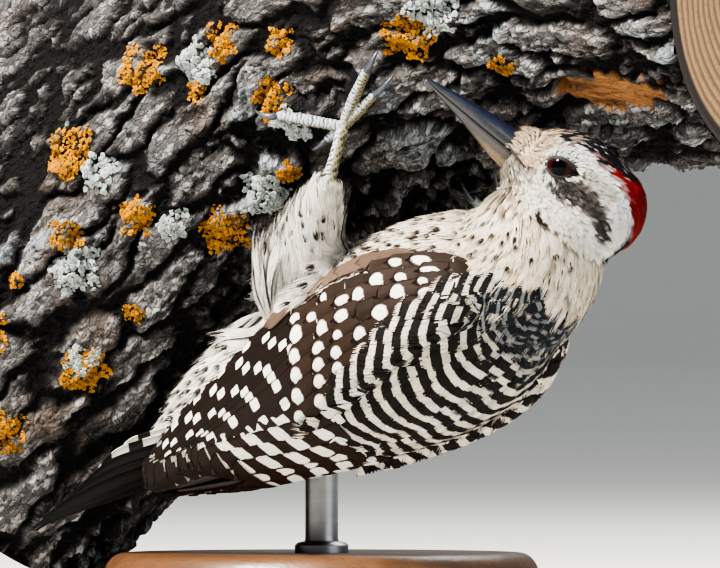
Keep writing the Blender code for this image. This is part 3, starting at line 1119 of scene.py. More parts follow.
GROWTH = {
    Zone.FACE: Growth(0.56, 2.7, 0.95, 0.50, 0.05, 0.15, 0),
    Zone.CROWN: Growth(0.72, 4.2, 1.5, 0.60, 0.08, 0.12, 0),
    Zone.THROAT: Growth(0.80, 5.0, 1.6, 0.80, 0.12, 0.35, 0),
    Zone.NECK: Growth(1.05, 6.8, 2.2, 1.10, 0.15, 0.55, 4),
    Zone.BREAST: Growth(1.45, 8.2, 3.4, 1.40, 0.10, 0.25, 4),
    Zone.BELLY: Growth(1.45, 9.5, 3.4, 1.50, 0.20, 1.00, 4),
    Zone.THIGH: Growth(1.05, 7.4, 2.2, 1.10, 0.15, 1.30, 4),
    Zone.BACK: Growth(3.00, 12.0, 8.0, 1.50, 0.20, 0.10, 8),
}


@dataclass
class Plumage:
    """Where each zone lies, which way its feathers lie and how they are marked."""

    eye: tuple[float, float, float] = (5.0, 7.6, 3.1)
    bill_root: tuple[float, float, float] = (19.0, 0.0, -3.0)
    trunk_sections: tuple = (
        (-66.0, -2.4, 1.6, 1.2), (-60.0, -3.0, 6.0, 6.0), (-51.0, -3.6, 10.0, 11.2),
        (-40.0, -4.0, 13.4, 15.6), (-26.0, -3.6, 17.0, 18.6), (-10.0, -3.0, 20.0, 21.2),
        (4.0, -2.8, 21.2, 22.4), (15.0, -2.8, 20.6, 21.4), (24.0, -3.4, 18.0, 18.6),
        (31.0, -4.4, 13.4, 13.8), (35.6, -5.0, 7.6, 7.6), (37.4, -5.2, 2.8, 2.8))
    thigh_path: tuple = ((-17.5, 8.0, -9.0), (-13.5, 14.0, -14.0), (-8.8, 19.2, -18.2),
                         (-2.6, 24.6, -22.2), (4.6, 29.5, -26.4))
    neck_way: tuple[float, float, float] = (-0.89, -0.16, 0.42)
    cap_middle: float = 3.5
    cap_height: float = 9.0
    cap_reach: tuple[float, float] = (19.0, 9.0)
    cap_front: float = 10.0
    wedge_rear: float = -6.0
    wedge_half: float = 4.8

    def mark(self, start: Sequence[float], end: Sequence[float],
             bow: Sequence[float]) -> np.ndarray:
        """The middle line of a face marking, given as steps from the eye.

        Args:
            start: Step from the eye to its front end.
            end: Step from the eye to its rear end.
            bow: How far its middle stands off the straight line.

        Returns:
            Places in the head's frame.
        """
        eye = np.array(self.eye)
        return arc(eye + start, eye + end, bow)

    @property
    def dark_ear(self) -> np.ndarray:
        """The dark patch that runs back from the eye over the ear."""
        return self.mark((-1.5, 2.0, -2.0), (-14.5, 1.5, -4.5), (0.0, 0.6, 2.2))

    @property
    def buff_ear(self) -> np.ndarray:
        """The buff streak over the dark ear patch."""
        return self.mark((-5.0, 1.0, 3.0), (-9.5, 0.5, 3.0), (0.0, 0.0, 0.0))

    @property
    def malar(self) -> np.ndarray:
        """The short dark stripe below the cheek."""
        return self.mark((-0.5, 3.5, -8.5), (-3.5, 4.5, -9.5), (0.0, 0.2, -0.2))

    @property
    def malar_spots(self) -> np.ndarray:
        """The row of spots that carries the stripe on down the neck."""
        return self.mark((-8.5, 4.5, -9.0), (-12.5, 5.0, -15.0), (0.0, 0.2, 0.0))

    @property
    def gape(self) -> np.ndarray:
        """The faint line back from the corner of the bill."""
        return self.mark((10.5, -3.0, -5.0), (5.5, -0.5, -4.5), (0.0, 0.2, 0.0))

    def from_eye(self, h: np.ndarray) -> np.ndarray:
        """Steps from the eye on its own side to each place in the head's frame."""
        return h - np.array(self.eye) * sided(np.sign(h[:, 1]))

    def trunk_at(self, x: np.ndarray) -> np.ndarray:
        """Middle height, half width and half height of the trunk at places along it."""
        table = np.array(self.trunk_sections)
        return np.stack([np.interp(x, table[:, 0], table[:, k]) for k in (1, 2, 3)], -1)

    def zones(self, places: np.ndarray) -> np.ndarray:
        """The zone of each place.

        Args:
            places: World points on the coat's form.

        Returns:
            Numbers of the zones.
        """
        b, h = to_local(places, BIRD), to_local(places, HEAD)
        section = self.trunk_at(b[:, 0])
        out = np.hypot(b[:, 1] / section[:, 1], (b[:, 2] - section[:, 0]) / section[:, 2])
        zone = np.where(b[:, 0] > 4, Zone.BREAST.value, Zone.BELLY.value)
        sides = b * np.array([1, -1, 1])
        thigh = np.minimum(to_path(b, self.thigh_path), to_path(sides, self.thigh_path))
        zone = np.where((out > 1.10) & (thigh < 13) & (b[:, 0] < 12) & (b[:, 2] < -6),
                        Zone.THIGH.value, zone)
        back = (b[:, 2] > 6) & (b[:, 0] < 31)
        zone = np.where(back, Zone.BACK.value, zone)
        zone = np.where(b[:, 0] > 29, Zone.NECK.value, zone)
        ball = np.sqrt((h[:, 0] / 17.5) ** 2 + (h[:, 1] / 11.5) ** 2
                       + ((h[:, 2] + 0.5) / 14) ** 2)
        head = (ball < 1.12) & (h[:, 0] > -16.5)
        throat = head & ((h[:, 2] < -6.5) | (h[:, 0] < -11) & (h[:, 2] < -2))
        crown = head & (self.over_red(h) > 0)
        zone = np.where(head, Zone.FACE.value, zone)
        zone = np.where(throat, Zone.THROAT.value, zone)
        return np.where(crown, Zone.CROWN.value, zone)

    def half_black(self, h: np.ndarray) -> np.ndarray:
        """Half width of the crown's black wedge, in millimetres."""
        grown = np.sqrt(np.clip((h[:, 0] - self.wedge_rear) / 8, 0, 1))
        return self.wedge_half * grown + np.clip(0.75 * (h[:, 0] - 4), 0, 1.8)

    def over_red(self, h: np.ndarray) -> np.ndarray:
        """Height above the lower edge of the cap, a half oval over the eye, in millimetres."""
        x = np.minimum(h[:, 0], self.cap_front) - self.cap_middle
        reach = np.where(x < 0, *self.cap_reach)
        low = self.cap_height * np.sqrt(np.clip(1 - (x / reach) ** 2, 0.025, 1))
        low = low + 0.9 * np.maximum(h[:, 0] - self.cap_front, 0)
        return h[:, 2] - low + 0.10 * (6 - np.abs(h[:, 1]))

    def lie(self, places: np.ndarray, facing: np.ndarray) -> np.ndarray:
        """Which way feathers lie.

        Args:
            places: World points on the coat's form.
            facing: Outward directions there.

        Returns:
            Directions in the surface, away from the bill and towards the tail or heel.
        """
        b, h = to_local(places, BIRD), to_local(places, HEAD)
        way = np.tile([-1.0, 0.0, 0.0], (len(b), 1))
        way[:, 2] -= 0.10 * step(4, 14, b[:, 2])
        neck = np.tile(self.neck_way, (len(b), 1))
        way = blend(way, neck, step(22, 34, b[:, 0]))
        away = unit(h - np.array(self.bill_root))
        eye = self.from_eye(h)
        gap = np.linalg.norm(eye, axis=1)
        away = unit(blend(away, unit(eye), 0.75 * step(6.0, 3.0, gap)))
        turn = np.array(head_matrix())[:3, :3]
        tuft = step(12.2, 13.6, h[:, 0]) * step(-1.6, -0.4, h[:, 2])
        away = unit(blend(away, np.tile([0.9, 0.0, 0.25], (len(h), 1)), tuft))
        share = step(21, 11, np.linalg.norm(h - np.array([1, 0, 0]), axis=1))
        way = blend(way, away @ turn.T, share)
        side = np.sign(b[:, 1])
        hip, heel = np.array(self.thigh_path[1]), np.array(self.thigh_path[-1])
        leg = unit((heel - hip)[None, :]) * sided(side)
        low = step(14.0, 25.0, np.abs(b[:, 1]))
        way = blend(way, leg, (self.zones(places) == Zone.THIGH.value) * (0.38 + 0.42 * low))
        way = turned(way, BIRD)
        return unit(way - facing * np.sum(way * facing, axis=1, keepdims=True))

    def tints(self, places: np.ndarray, rng: np.random.Generator) -> np.ndarray:
        """The ground colour at each place.

        Args:
            places: World points on the coat's form.
            rng: Source of the feathers' slight differences.

        Returns:
            Rows of red, green, blue.
        """
        b, h = to_local(places, BIRD), to_local(places, HEAD)
        zone = self.zones(places)
        m = h * sided(np.sign(h[:, 1] + 1e-6))
        colour = np.tile(WHITE, (len(b), 1))
        on_trunk = zone >= Zone.NECK.value
        colour = blend(colour, CREAM, on_trunk * 0.75 * step(-20, 30, b[:, 0]))
        head = zone <= Zone.THROAT.value
        colour = blend(colour, CREAM, head * 0.8 * step(-2, -8, h[:, 2]))
        colour = blend(colour, BUFF, head * 0.85 * step(8.5, 12, h[:, 0])
                       * step(-4.5, -1.0, h[:, 2]))
        colour = blend(colour, (0.42, 0.38, 0.34), head * 0.55 * step(11, 15, h[:, 0])
                       * step(-3.5, -6.0, h[:, 2]))
        cool = head * step(3.0, 5.0, h[:, 2]) * step(10, 5, h[:, 0])
        colour = blend(colour, (0.80, 0.83, 0.86), cool * 0.6)
        cool = head * step(-3.0, -8.0, h[:, 0]) * step(-8.0, -3.0, h[:, 2])
        colour = blend(colour, (0.74, 0.77, 0.80), cool * 0.6)
        colour = blend(colour, (0.40, 0.35, 0.28),
                       head * 0.7 * step(2.6, 1.0, to_path(m, self.buff_ear)))
        ear_gap = to_path(m, self.dark_ear) + rng.normal(0, 0.55, len(b))
        ear_wide = np.interp(h[:, 0], (-10, -5, 0, 4), (1.3, 2.0, 2.5, 1.9))
        ear = step(0.7, -0.3, ear_gap - ear_wide)
        core = step(2.0, 0.4, ear_gap)[:, None]
        streak = rng.uniform(0.5, 3.8, (len(b), 1)) * (1 - core)
        streak = streak + core * rng.uniform(0.35, 1.5, (len(b), 1))
        colour = blend(colour, np.array(GREY_BROWN) * streak, head * ear)
        thin = step(0.85, 0.45, to_path(m, self.malar) + rng.normal(0, 0.12, len(b)))
        colour = blend(colour, np.array(BROWN) * 0.8, thin)
        spots = to_path(m, self.malar_spots) < 1.3
        colour = blend(colour, GREY_BROWN, spots * (rng.random(len(b)) < 0.24) * 0.5)
        line = step(1.0, 0.5, to_path(m, self.gape)) * (rng.random(len(b)) < 0.4)
        colour = blend(colour, (0.16, 0.13, 0.115), head * line * 0.8)
        chin = head * step(8.5, 12.0, h[:, 0]) * step(-0.8, -2.2, h[:, 2])
        colour = blend(colour, (0.21, 0.19, 0.175), chin * (rng.random(len(b)) < 0.42) * 0.8)
        rictal = head * step(14.0, 15.6, h[:, 0]) * step(-0.6, -1.6, h[:, 2])
        colour = blend(colour, (0.10, 0.088, 0.080), rictal * 0.85)
        lores = head * step(6.5, 10.5, h[:, 0]) * (rng.random(len(b)) < 0.30)
        colour = blend(colour, (0.30, 0.23, 0.165), lores * 0.7)
        cap = step(-0.3, 0.5, self.over_red(h)) * (zone == Zone.CROWN.value)
        colour = blend(colour, np.array(RED) * rng.uniform(0.45, 1.25, (len(b), 1)), cap)
        middle = np.abs(h[:, 1]) + rng.normal(0, 0.35, len(b)) < self.half_black(h)
        colour = blend(colour, BLUE_BLACK, cap * middle)
        front = cap * step(5.6, 9.5, h[:, 0]) * (rng.random(len(b)) < 0.30)
        colour = blend(colour, (0.42, 0.34, 0.27), front)
        nape = step(-9.0, -12.5, h[:, 0]) * step(-2.5, 0.5, h[:, 2])
        nape = np.maximum(nape, step(-11.5, -13.5, h[:, 0]) * step(-8.5, -5.0, h[:, 2]))
        nape = nape * step(7.0, 4.5, np.abs(h[:, 1])) * (1 - cap) * head
        colour = blend(colour, BLACK, nape)
        nape_line = b[:, 2] - 8.3 + 0.28 * (b[:, 0] - 34.0) + rng.normal(0, 0.8, len(b))
        hind = (zone == Zone.NECK.value) * step(-0.8, 0.9, nape_line)
        colour = blend(colour, SMOKE, hind * 0.8)
        dark = hind * (rng.random(len(b)) < 0.74)
        colour = blend(colour, BLUE_BLACK, dark * 0.9)
        # Painted shade between feathers: a random third of throat and neck feathers made darker
        # and tan.
        warm = ((zone == Zone.THROAT.value) | (zone == Zone.NECK.value))[:, None] * (
            rng.random((len(b), 1)) < 0.35)
        colour = colour * (1 - warm * np.array([[0.10, 0.16, 0.28]]))
        # Random brightness per feather, wider on the head: random tone that also paints shade
        # between feathers.
        low = np.where(head > 0, 0.70, 0.84)[:, None]
        return colour * (low + (1.05 - low) * rng.random((len(b), 1)) ** 0.7)


class CutKit:
    """The few feather shapes that the coat repeats, each a small open mesh.

    A shape is one long along Y and one wide along X, with the attributes along, across
    and rise, the height over the feather's plane as a part of its width.
    """

    def __init__(self) -> None:
        """Makes the shapes in a collection."""
        self.group = bpy.data.collections.new("feather_cuts")
        bpy.context.scene.collection.children.link(self.group)
        self.rng = np.random.default_rng(SEED)
        self.objects: list[bpy.types.Object] = []
        for number in range(4):
            self.make(number, locks=7, rows=3, columns=2, thin=0.17, loose=0.30, leaf=0.30)
        for number in range(4, 8):
            self.make(number, locks=9, rows=4, columns=2, thin=0.13, loose=0.34, leaf=0.38)
        for number in range(8, 12):
            self.make(number, locks=15, rows=8, columns=4, thin=0.085, loose=0.10)

    def make(self, number: int, locks: int, rows: int, columns: int, thin: float,
             loose: float, leaf: float = 0.47) -> None:
        """Makes one shape: a leaf with locks of barbs at its edges and tip.

        Args:
            locks: How many locks.
            rows: Rows of the leaf.
            columns: Columns of the leaf.
            thin: Width of a lock, as a part of the feather's.
            loose: How far the locks stray.
            leaf: Half width of the leaf under the locks.
        """
        points, faces = [], []
        reach = 0.90 if locks > 10 else 0.84
        for i in range(rows + 1):
            s = i / rows
            half = leaf * math.sqrt(max(0.0, 1 - abs((s - 0.52) / 0.50) ** 2.6))
            for j in range(columns + 1):
                c = 2 * j / columns - 1
                jag = self.rng.uniform(-0.02, 0.02) if 0 < i else 0.0
                y = s * reach - 0.10 * abs(c) * s + jag
                points.append((c * max(half, 0.05), y, 0.10 * (1 - c * c)))
        width = columns + 1
        faces += [[i * width + j, i * width + j + 1, (i + 1) * width + j + 1,
                   (i + 1) * width + j] for i in range(rows) for j in range(columns)]
        for k in range(locks):
            c = 2 * (k + 0.5) / locks - 1 + self.rng.uniform(-0.5, 0.5) / locks
            tip = Vector((0.5 * c * self.rng.uniform(0.85, 1.1),
                          1.0 - 0.34 * abs(c) ** 2.2 + self.rng.uniform(-loose, loose) * 0.3,
                          0.06 * (1 - c * c) + self.rng.uniform(0, loose) * 0.35))
            root = Vector((0.30 * c, 0.22 + 0.12 * (1 - abs(c)), 0.12 * (1 - c * c) + 0.02))
            bend = Vector((0.10 * c + self.rng.uniform(-0.05, 0.05) * loose, 0, 0.03))
            first = len(points)
            for i in range(3):
                s = i / 3
                mid = root.lerp(tip, s) + bend * (4 * s * (1 - s))
                half = 0.5 * thin * (1 - 0.55 * s)
                points.append((mid.x - half, mid.y, mid.z))
                points.append((mid.x + half, mid.y, mid.z))
            points.append(tuple(tip))
            faces += [[first, first + 1, first + 3, first + 2],
                      [first + 2, first + 3, first + 5, first + 4],
                      [first + 4, first + 5, first + 6]]
        table = np.array(points)
        batch = Batch()
        flat = table * np.array([1, 1, 0]) / MM
        batch.add(flat, faces, along=np.clip(table[:, 1], 0, 1),
                  across=np.clip(2 * table[:, 0], -1.2, 1.2), rise=table[:, 2])
        obj = batch.build(f"cut_{number:02d}")
        bpy.context.scene.collection.objects.unlink(obj)
        self.group.objects.link(obj)
        obj.hide_render = True
        self.objects.append(obj)

    def clear(self) -> None:
        """Removes the shapes when the coat is made."""
        for obj in self.objects:
            bpy.data.objects.remove(obj)
        bpy.data.collections.remove(self.group)


def mapped(wire: Wire, geometry: bpy.types.Node, spot: bpy.types.NodeSocket,
           finish: bpy.types.NodeSocket) -> bpy.types.Node:
    """Adds the map OFBake, smooth shading and the material at the end of a tree.

    Args:
        wire: The tree.
        geometry: What they are added to.
        spot: Places on the map.
        finish: The material.

    Returns:
        The last node.
    """
    stored = wire.add("GeometryNodeStoreNamedAttribute",
                      {"Geometry": geometry, "Name": "OFBake", "Value": spot},
                      data_type="FLOAT2", domain="CORNER")
    smooth = wire.add("GeometryNodeSetShadeSmooth", {0: stored})
    return wire.add("GeometryNodeSetMaterial", {"Geometry": smooth, "Material": finish})


def coat_tree() -> bpy.types.NodeTree:
    """The tree that lays feathers on a form.

    Each point of the input carries out and lie, its directions; size; cut, its shape;
    root_uv; sunk and raised, depth of the root and height of the tip; and its colours.

    Returns:
        The tree.
    """
    wire, given, result = new_group(
        "LayFeathers", "GeometryNodeTree",
        (("Points", "Geometry"), ("Kit", "Collection"), ("Form", "Object"),
         ("Patch", "Float", 0.003), ("Arch", "Float", 1.0), ("Frizz", "Float", 0.0002),
         ("Seed", "Int", SEED), ("Finish", "Material")),
        (("Coat", "Geometry"),))
    points, kit, form, patch, arch, frizz, seed, finish = (given.outputs[k] for k in range(8))
    shapes = wire.add("GeometryNodeCollectionInfo",
                      {"Collection": kit, "Separate Children": True, "Reset Children": True})
    turn = wire.add("FunctionNodeAxesToRotation",
                    {0: wire.stored("out", "FLOAT_VECTOR"),
                     1: wire.stored("lie", "FLOAT_VECTOR")},
                    primary_axis="Z", secondary_axis="Y")
    laid = wire.add("GeometryNodeInstanceOnPoints",
                    {"Points": points, "Instance": shapes, "Pick Instance": True,
                     "Instance Index": wire.stored("cut", "INT"), "Rotation": turn,
                     "Scale": wire.stored("size", "FLOAT_VECTOR")})
    real = wire.add("GeometryNodeRealizeInstances", {"Geometry": laid})
    along = wire.stored("along")
    place = wire.add("GeometryNodeInputPosition")
    jitter = wire.noise(wire.vector("ADD", place, wire.join(seed, 0.0, 0.0)), 900.0, 1.0,
                        out=1)
    stray = wire.vector("SCALE", wire.vector("SUBTRACT", jitter, (0.5, 0.5, 0.5)),
                        scale=wire.times(frizz, wire.times(along, along)))
    around = wire.add("GeometryNodeObjectInfo", {"Object": form}, out="Geometry",
                      transform_space="RELATIVE")
    foot = wire.add("GeometryNodeSampleNearestSurface",
                    {"Mesh": around, "Value": place, "Sample Position": place}, out="Value",
                    data_type="FLOAT_VECTOR")
    facing = wire.add("GeometryNodeSampleNearestSurface",
                      {"Mesh": around, "Value": wire.stored("facing", "FLOAT_VECTOR"),
                       "Sample Position": place}, out="Value", data_type="FLOAT_VECTOR")
    sunk, raised = wire.stored("sunk"), wire.stored("raised")
    level = wire.minus(wire.times(wire.plus(sunk, raised),
                                  wire.math("POWER", along, 0.85)), sunk)
    width = wire.part(wire.stored("size", "FLOAT_VECTOR"), 0)
    height = wire.plus(level, wire.times(wire.times(wire.stored("rise"), width), arch))
    lifted = wire.vector("ADD", foot, wire.vector(
        "SCALE", wire.vector("NORMALIZE", facing), scale=height))
    moved = wire.add("GeometryNodeSetPosition",
                     {"Geometry": real, "Position": wire.vector("ADD", lifted, stray)})
    inside = wire.join(wire.times(wire.stored("across"), 0.5), wire.minus(along, 0.5))
    spot = wire.vector("ADD", wire.stored("root_uv", "FLOAT_VECTOR"),
                       wire.vector("SCALE", inside, scale=patch))
    wire.feed(result.inputs[0], mapped(wire, moved, spot, finish))
    return wire.tree


@dataclass
class Roots:
    """Where feathers grow: one row for each feather."""

    places: np.ndarray
    out: np.ndarray
    lie: np.ndarray
    length: np.ndarray
    width: np.ndarray
    cut: np.ndarray
    sunk: np.ndarray
    raised: np.ndarray
    tint: np.ndarray
    mark: np.ndarray
    spot: np.ndarray
    beat: np.ndarray

    def host(self, name: str) -> bpy.types.Object:
        """The points, with their attributes, as an object without faces.

        Args:
            name: Its name.

        Returns:
            The object.
        """
        mesh = bpy.data.meshes.new(name)
        mesh.from_pydata((self.places * MM).tolist(), [], [])
        size = np.stack([self.width, self.length, self.width], -1) * MM
        facts = {"out": self.out, "lie": self.lie, "size": size, "sunk": self.sunk * MM,
                 "raised": self.raised * MM, "tint": self.tint, "mark": self.mark,
                 "spot": self.spot, "beat": self.beat, "root_uv": unwrapped(self.places)}
        for key, rows in facts.items():
            write(mesh, key, rows)
        cut = mesh.attributes.new("cut", "INT", "POINT")
        cut.data.foreach_set("value", self.cut.astype(np.int32))
        return linked(name, mesh)


def unwrapped(places: np.ndarray) -> np.ndarray:
    """Places on an unwrap of the skin: trunk and neck, head and thighs as rolled tubes.

    Args:
        places: World points.

    Returns:
        Rows of u, v, 0.
    """
    plumage = Plumage()
    b, h = to_local(places, BIRD), to_local(places, HEAD)
    zone = plumage.zones(places)
    round_trunk = np.arctan2(b[:, 1], b[:, 2] + 3) / (2 * math.pi) + 0.5
    body = np.stack([0.02 + 0.60 * round_trunk, 0.02 + 0.96 * (b[:, 0] + 70) / 125], -1)
    round_head = np.arctan2(h[:, 1], -h[:, 2]) / (2 * math.pi) + 0.5
    head = np.stack([0.65 + 0.32 * round_head, 0.52 + 0.45 * (h[:, 0] + 18) / 40], -1)
    side = (b[:, 1] > 0) * 0.165
    round_leg = np.arctan2(b[:, 0] + 10, -b[:, 2] - 12) / (2 * math.pi) + 0.5
    leg = np.stack([0.65 + side + 0.145 * round_leg, 0.02 + 0.45 * np.abs(b[:, 1]) / 34], -1)
    spot = np.where((zone <= Zone.THROAT.value)[:, None], head, body)
    spot = np.where((zone == Zone.THIGH.value)[:, None], leg, spot)
    return np.concatenate([np.clip(spot, 0.004, 0.996), np.zeros((len(spot), 1))], 1)


@dataclass
class Coat:
    """Grows the contour feathers: scattered ones on the skin and rows on the back."""

    plumage: Plumage
    kit: CutKit
    tree: bpy.types.NodeTree
    crowd: float = 5.0
    spacing: float = 0.86
    row_space: float = 2.7
    lane_space: float = 2.35
    back_radius: float = 20.0
    row_length: float = 11.5
    row_width: float = 6.6
    notch: tuple[float, float, float] = (-21.5, 20.8, -9.6)
    first_row: float = 40.0
    last_row: float = -22.0
    bar_gap: float = 2.9
    bar_growth: float = 0.07
    bar_growing: float = 25.0
    bar_front: float = 31.0

    def back_reach(self, x: float) -> float:
        """How far round from the ridge the back's rows reach at a place, in degrees."""
        return float(7 + 58 * step(-44, 28, x) - 35 * step(27, 42, x))

    def bars_ahead(self, x: np.ndarray) -> np.ndarray:
        """How many bars lie ahead of places along the back, as their gaps widen backwards.

        Args:
            x: Places along the bird.

        Returns:
            Numbers of bars, with their fractions.
        """
        back = self.bar_front - x
        near = np.clip(back, 0, self.bar_growing)
        grown = np.log1p(self.bar_growth * near / self.bar_gap) / self.bar_growth
        return (grown + np.maximum(back - self.bar_growing, 0) / 4.4
                + np.minimum(back, 0) / self.bar_gap)

    def scatter(self, form: bpy.types.Object, covered: Callable) -> Roots:
        """Spreads roots evenly over a form, closer where feathers are small.

        Args:
            form: The coat's form.
            covered: Tells which world points another piece hides.

        Returns:
            The roots.
        """
        rng = np.random.default_rng(SEED)
        mesh = form.data
        mesh.calc_loop_triangles()
        corners = np.array([t.vertices for t in mesh.loop_triangles])
        spots, facing = coords(mesh), normals(mesh)
        a, b, c = (spots[corners[:, k]] for k in range(3))
        area = 0.5 * np.linalg.norm(np.cross(b - a, c - a), axis=1)
        middle = (a + b + c) / 3
        spaces = np.array([GROWTH[z].space for z in Zone])
        zone = self.plumage.zones(middle)
        weight = area / spaces[zone] ** 2 * ~covered(middle)
        count = int(self.crowd * weight.sum())
        pick = rng.choice(len(weight), count, p=weight / weight.sum())
        u, v = rng.random((2, count, 1))
        u, v = np.where(u + v > 1, 1 - u, u), np.where(u + v > 1, 1 - v, v)
        places = a[pick] * (1 - u - v) + b[pick] * u + c[pick] * v
        out = unit(sum(facing[corners[pick, k]] for k in range(3)))
        zone = self.plumage.zones(places)
        free = self.thinned(places, spaces[zone] * self.spacing)
        roots = self.dressed(places[free], out[free], zone[free], rng)
        return chosen(roots, self.lies_flat(roots, form))

    @staticmethod
    def lies_flat(roots: Roots, form: bpy.types.Object) -> np.ndarray:
        """Which feathers stay on their own side of a crease; long ones are cut first."""
        search = tree_of(form)
        fits = np.ones(len(roots.places), bool)
        for i, (place, out, lie) in enumerate(zip(roots.places, roots.out, roots.lie)):
            fits[i] = False
            for share in (1.0, 0.7, 0.45):
                reach = roots.length[i] * share
                _, facing, _, gap = search.find_nearest(Vector(place + lie * reach))
                if gap < 0.34 * reach and facing @ Vector(out) > 0.25:
                    fits[i] = True
                    roots.length[i] = reach
                    break
        return fits

    @staticmethod
    def thinned(places: np.ndarray, apart: np.ndarray) -> np.ndarray:
        """Which places stay when close neighbours are dropped."""
        search = points_tree(places)
        free = np.ones(len(places), bool)
        for i, place in enumerate(places):
            if free[i]:
                for _, j, _ in search.find_range(place, apart[i]):
                    free[j] = j == i
        return free

    def dressed(self, places: np.ndarray, out: np.ndarray, zone: np.ndarray,
                rng: np.random.Generator) -> Roots:
        """Sizes, lies, colours and marks of scattered feathers.

        Args:
            places: World points of the roots on the form.
            out: Outward directions.
            zone: Zone numbers.
            rng: Source of differences.

        Returns:
            The roots.
        """
        n = len(places)
        table = np.array([[g.length, g.width, g.depth, g.lift, g.fluff, g.cut]
                          for g in (GROWTH[z] for z in Zone)])[zone]
        lie = self.plumage.lie(places, out)
        side = np.cross(out, lie)
        swing = rng.normal(0, 0.13, (n, 1))
        lie = unit(lie * np.cos(swing) + side * np.sin(swing))
        h = to_local(places, HEAD)
        for eye in (Eye(key) for key in SIGN):
            lidded = eye.folded(h)
            h = lidded + unit(lidded - eye.centre) * 0.12 * np.any(lidded != h, axis=1)[:, None]
        places = np.where(near_eyes(h)[:, None], to_world(h, HEAD), places)
        near_eye = step(7.5, 3.4, np.linalg.norm(self.plumage.from_eye(h), axis=1))
        near_bill = step(9.0, 14.5, h[:, 0]) * (zone <= Zone.THROAT.value)
        small = (1 - 0.45 * near_eye) * (1 - 0.12 * near_bill)
        length = table[:, 0] * rng.uniform(0.85, 1.15, n) * small
        width = table[:, 1] * rng.uniform(0.85, 1.15, n) * small * (1 - 0.40 * near_bill)
        nape = (zone == Zone.CROWN.value) * step(-7.0, -12.0, h[:, 0])
        length *= 1 + 0.5 * nape
        b = to_local(places, BIRD)
        rear = step(0.15, 0.75, -(out @ np.array(BIRD)[:3, 0]))
        rear *= (zone >= Zone.BELLY.value) * step(-4, -12, b[:, 0]) * step(-66, -50, b[:, 0])
        length *= 1 + 0.45 * rear
        notch = np.linalg.norm(b - np.array(self.notch), axis=1)
        full = step(9.0, 3.0, notch) * (zone >= Zone.BELLY.value)
        length *= 1 + 0.55 * full
        mark = np.tile(BROWN, (n, 1))
        spot = np.tile([0.001, 0.0, 0.001], (n, 1))
        beat = np.stack([rng.integers(0, 40, n) - 0.30, np.ones(n), np.zeros(n)], -1)
        spotted = ((zone == Zone.BREAST.value) | (zone == Zone.BELLY.value)
                   | (zone == Zone.THIGH.value) & (rng.random(n) < 0.75)
                   | (zone == Zone.NECK.value) & (b[:, 2] < 0) & (rng.random(n) < 0.4))
        spotted &= (rng.random(n) < 0.95) & ((b[:, 2] > -18) | (b[:, 0] < -20))
        spotted[spotted] = self.thinned(places[spotted], np.full(spotted.sum(), 1.6))
        spot[spotted] = np.stack([rng.uniform(0.12, 0.18, n), np.zeros(n),
                                  rng.uniform(0.40, 0.62, n)], -1)[spotted]
        mark[spotted] = np.array((0.034, 0.022, 0.017))
        streaked = (zone == Zone.NECK.value) & (b[:, 2] < 3) & (rng.random(n) < 0.16)
        streaked |= (to_path(h, self.plumage.malar_spots) < 2.2) & (rng.random(n) < 0.5)
        spot[streaked] = (0.14, 0.0, 0.16)
        flecked = (zone == Zone.CROWN.value) & (rng.random(n) < 0.26) & (h[:, 0] > -5)
        flecked &= np.abs(h[:, 1]) < self.plumage.half_black(h) + 0.5
        spot[flecked] = (0.13, 0.0, 0.11)
        mark[flecked] = WHITE
        red_tip = (zone == Zone.CROWN.value) & ~flecked & (rng.random(n) < 0.18)
        red_tip &= np.abs(h[:, 1]) > self.plumage.half_black(h) - 1.2
        spot[red_tip] = (0.14, 0.0, 0.16)
        mark[red_tip] = RED
        return Roots(places=places, out=out, lie=lie, length=length, width=width,
                     cut=table[:, 5].astype(int) + rng.integers(0, 4, n),
                     sunk=table[:, 2] * (1 - 0.6 * near_eye),
                     raised=table[:, 3] + (table[:, 4] + 1.5 * rear + 0.5 * spotted)
                     * rng.uniform(0, 1, n) ** 2 + 2.6 * full * rng.random(n),
                     tint=self.plumage.tints(places, rng), mark=mark, spot=spot, beat=beat)

    def bar(self, places: np.ndarray) -> np.ndarray:
        """Number of the bar at places on the back, counted from the nape.

        Args:
            places: World points.

        Returns:
            Bar numbers with their fractions; a whole number is the middle of a pale bar.
        """
        b = to_local(places, BIRD)
        angle = np.degrees(np.abs(np.arctan2(b[:, 1], b[:, 2] + 2)))
        rear = 0.13 * np.clip(20 - angle, 0, 20) * step(2.0, -14.0, b[:, 0])
        x = b[:, 0] - (np.minimum(angle, 75) - 20) ** 2 / 230 - rear
        wave = 0.10 * np.sin(angle * 0.33 + b[:, 0] * 0.4) + 0.07 * np.sin(angle * 0.9)
        return self.bars_ahead(x) + wave

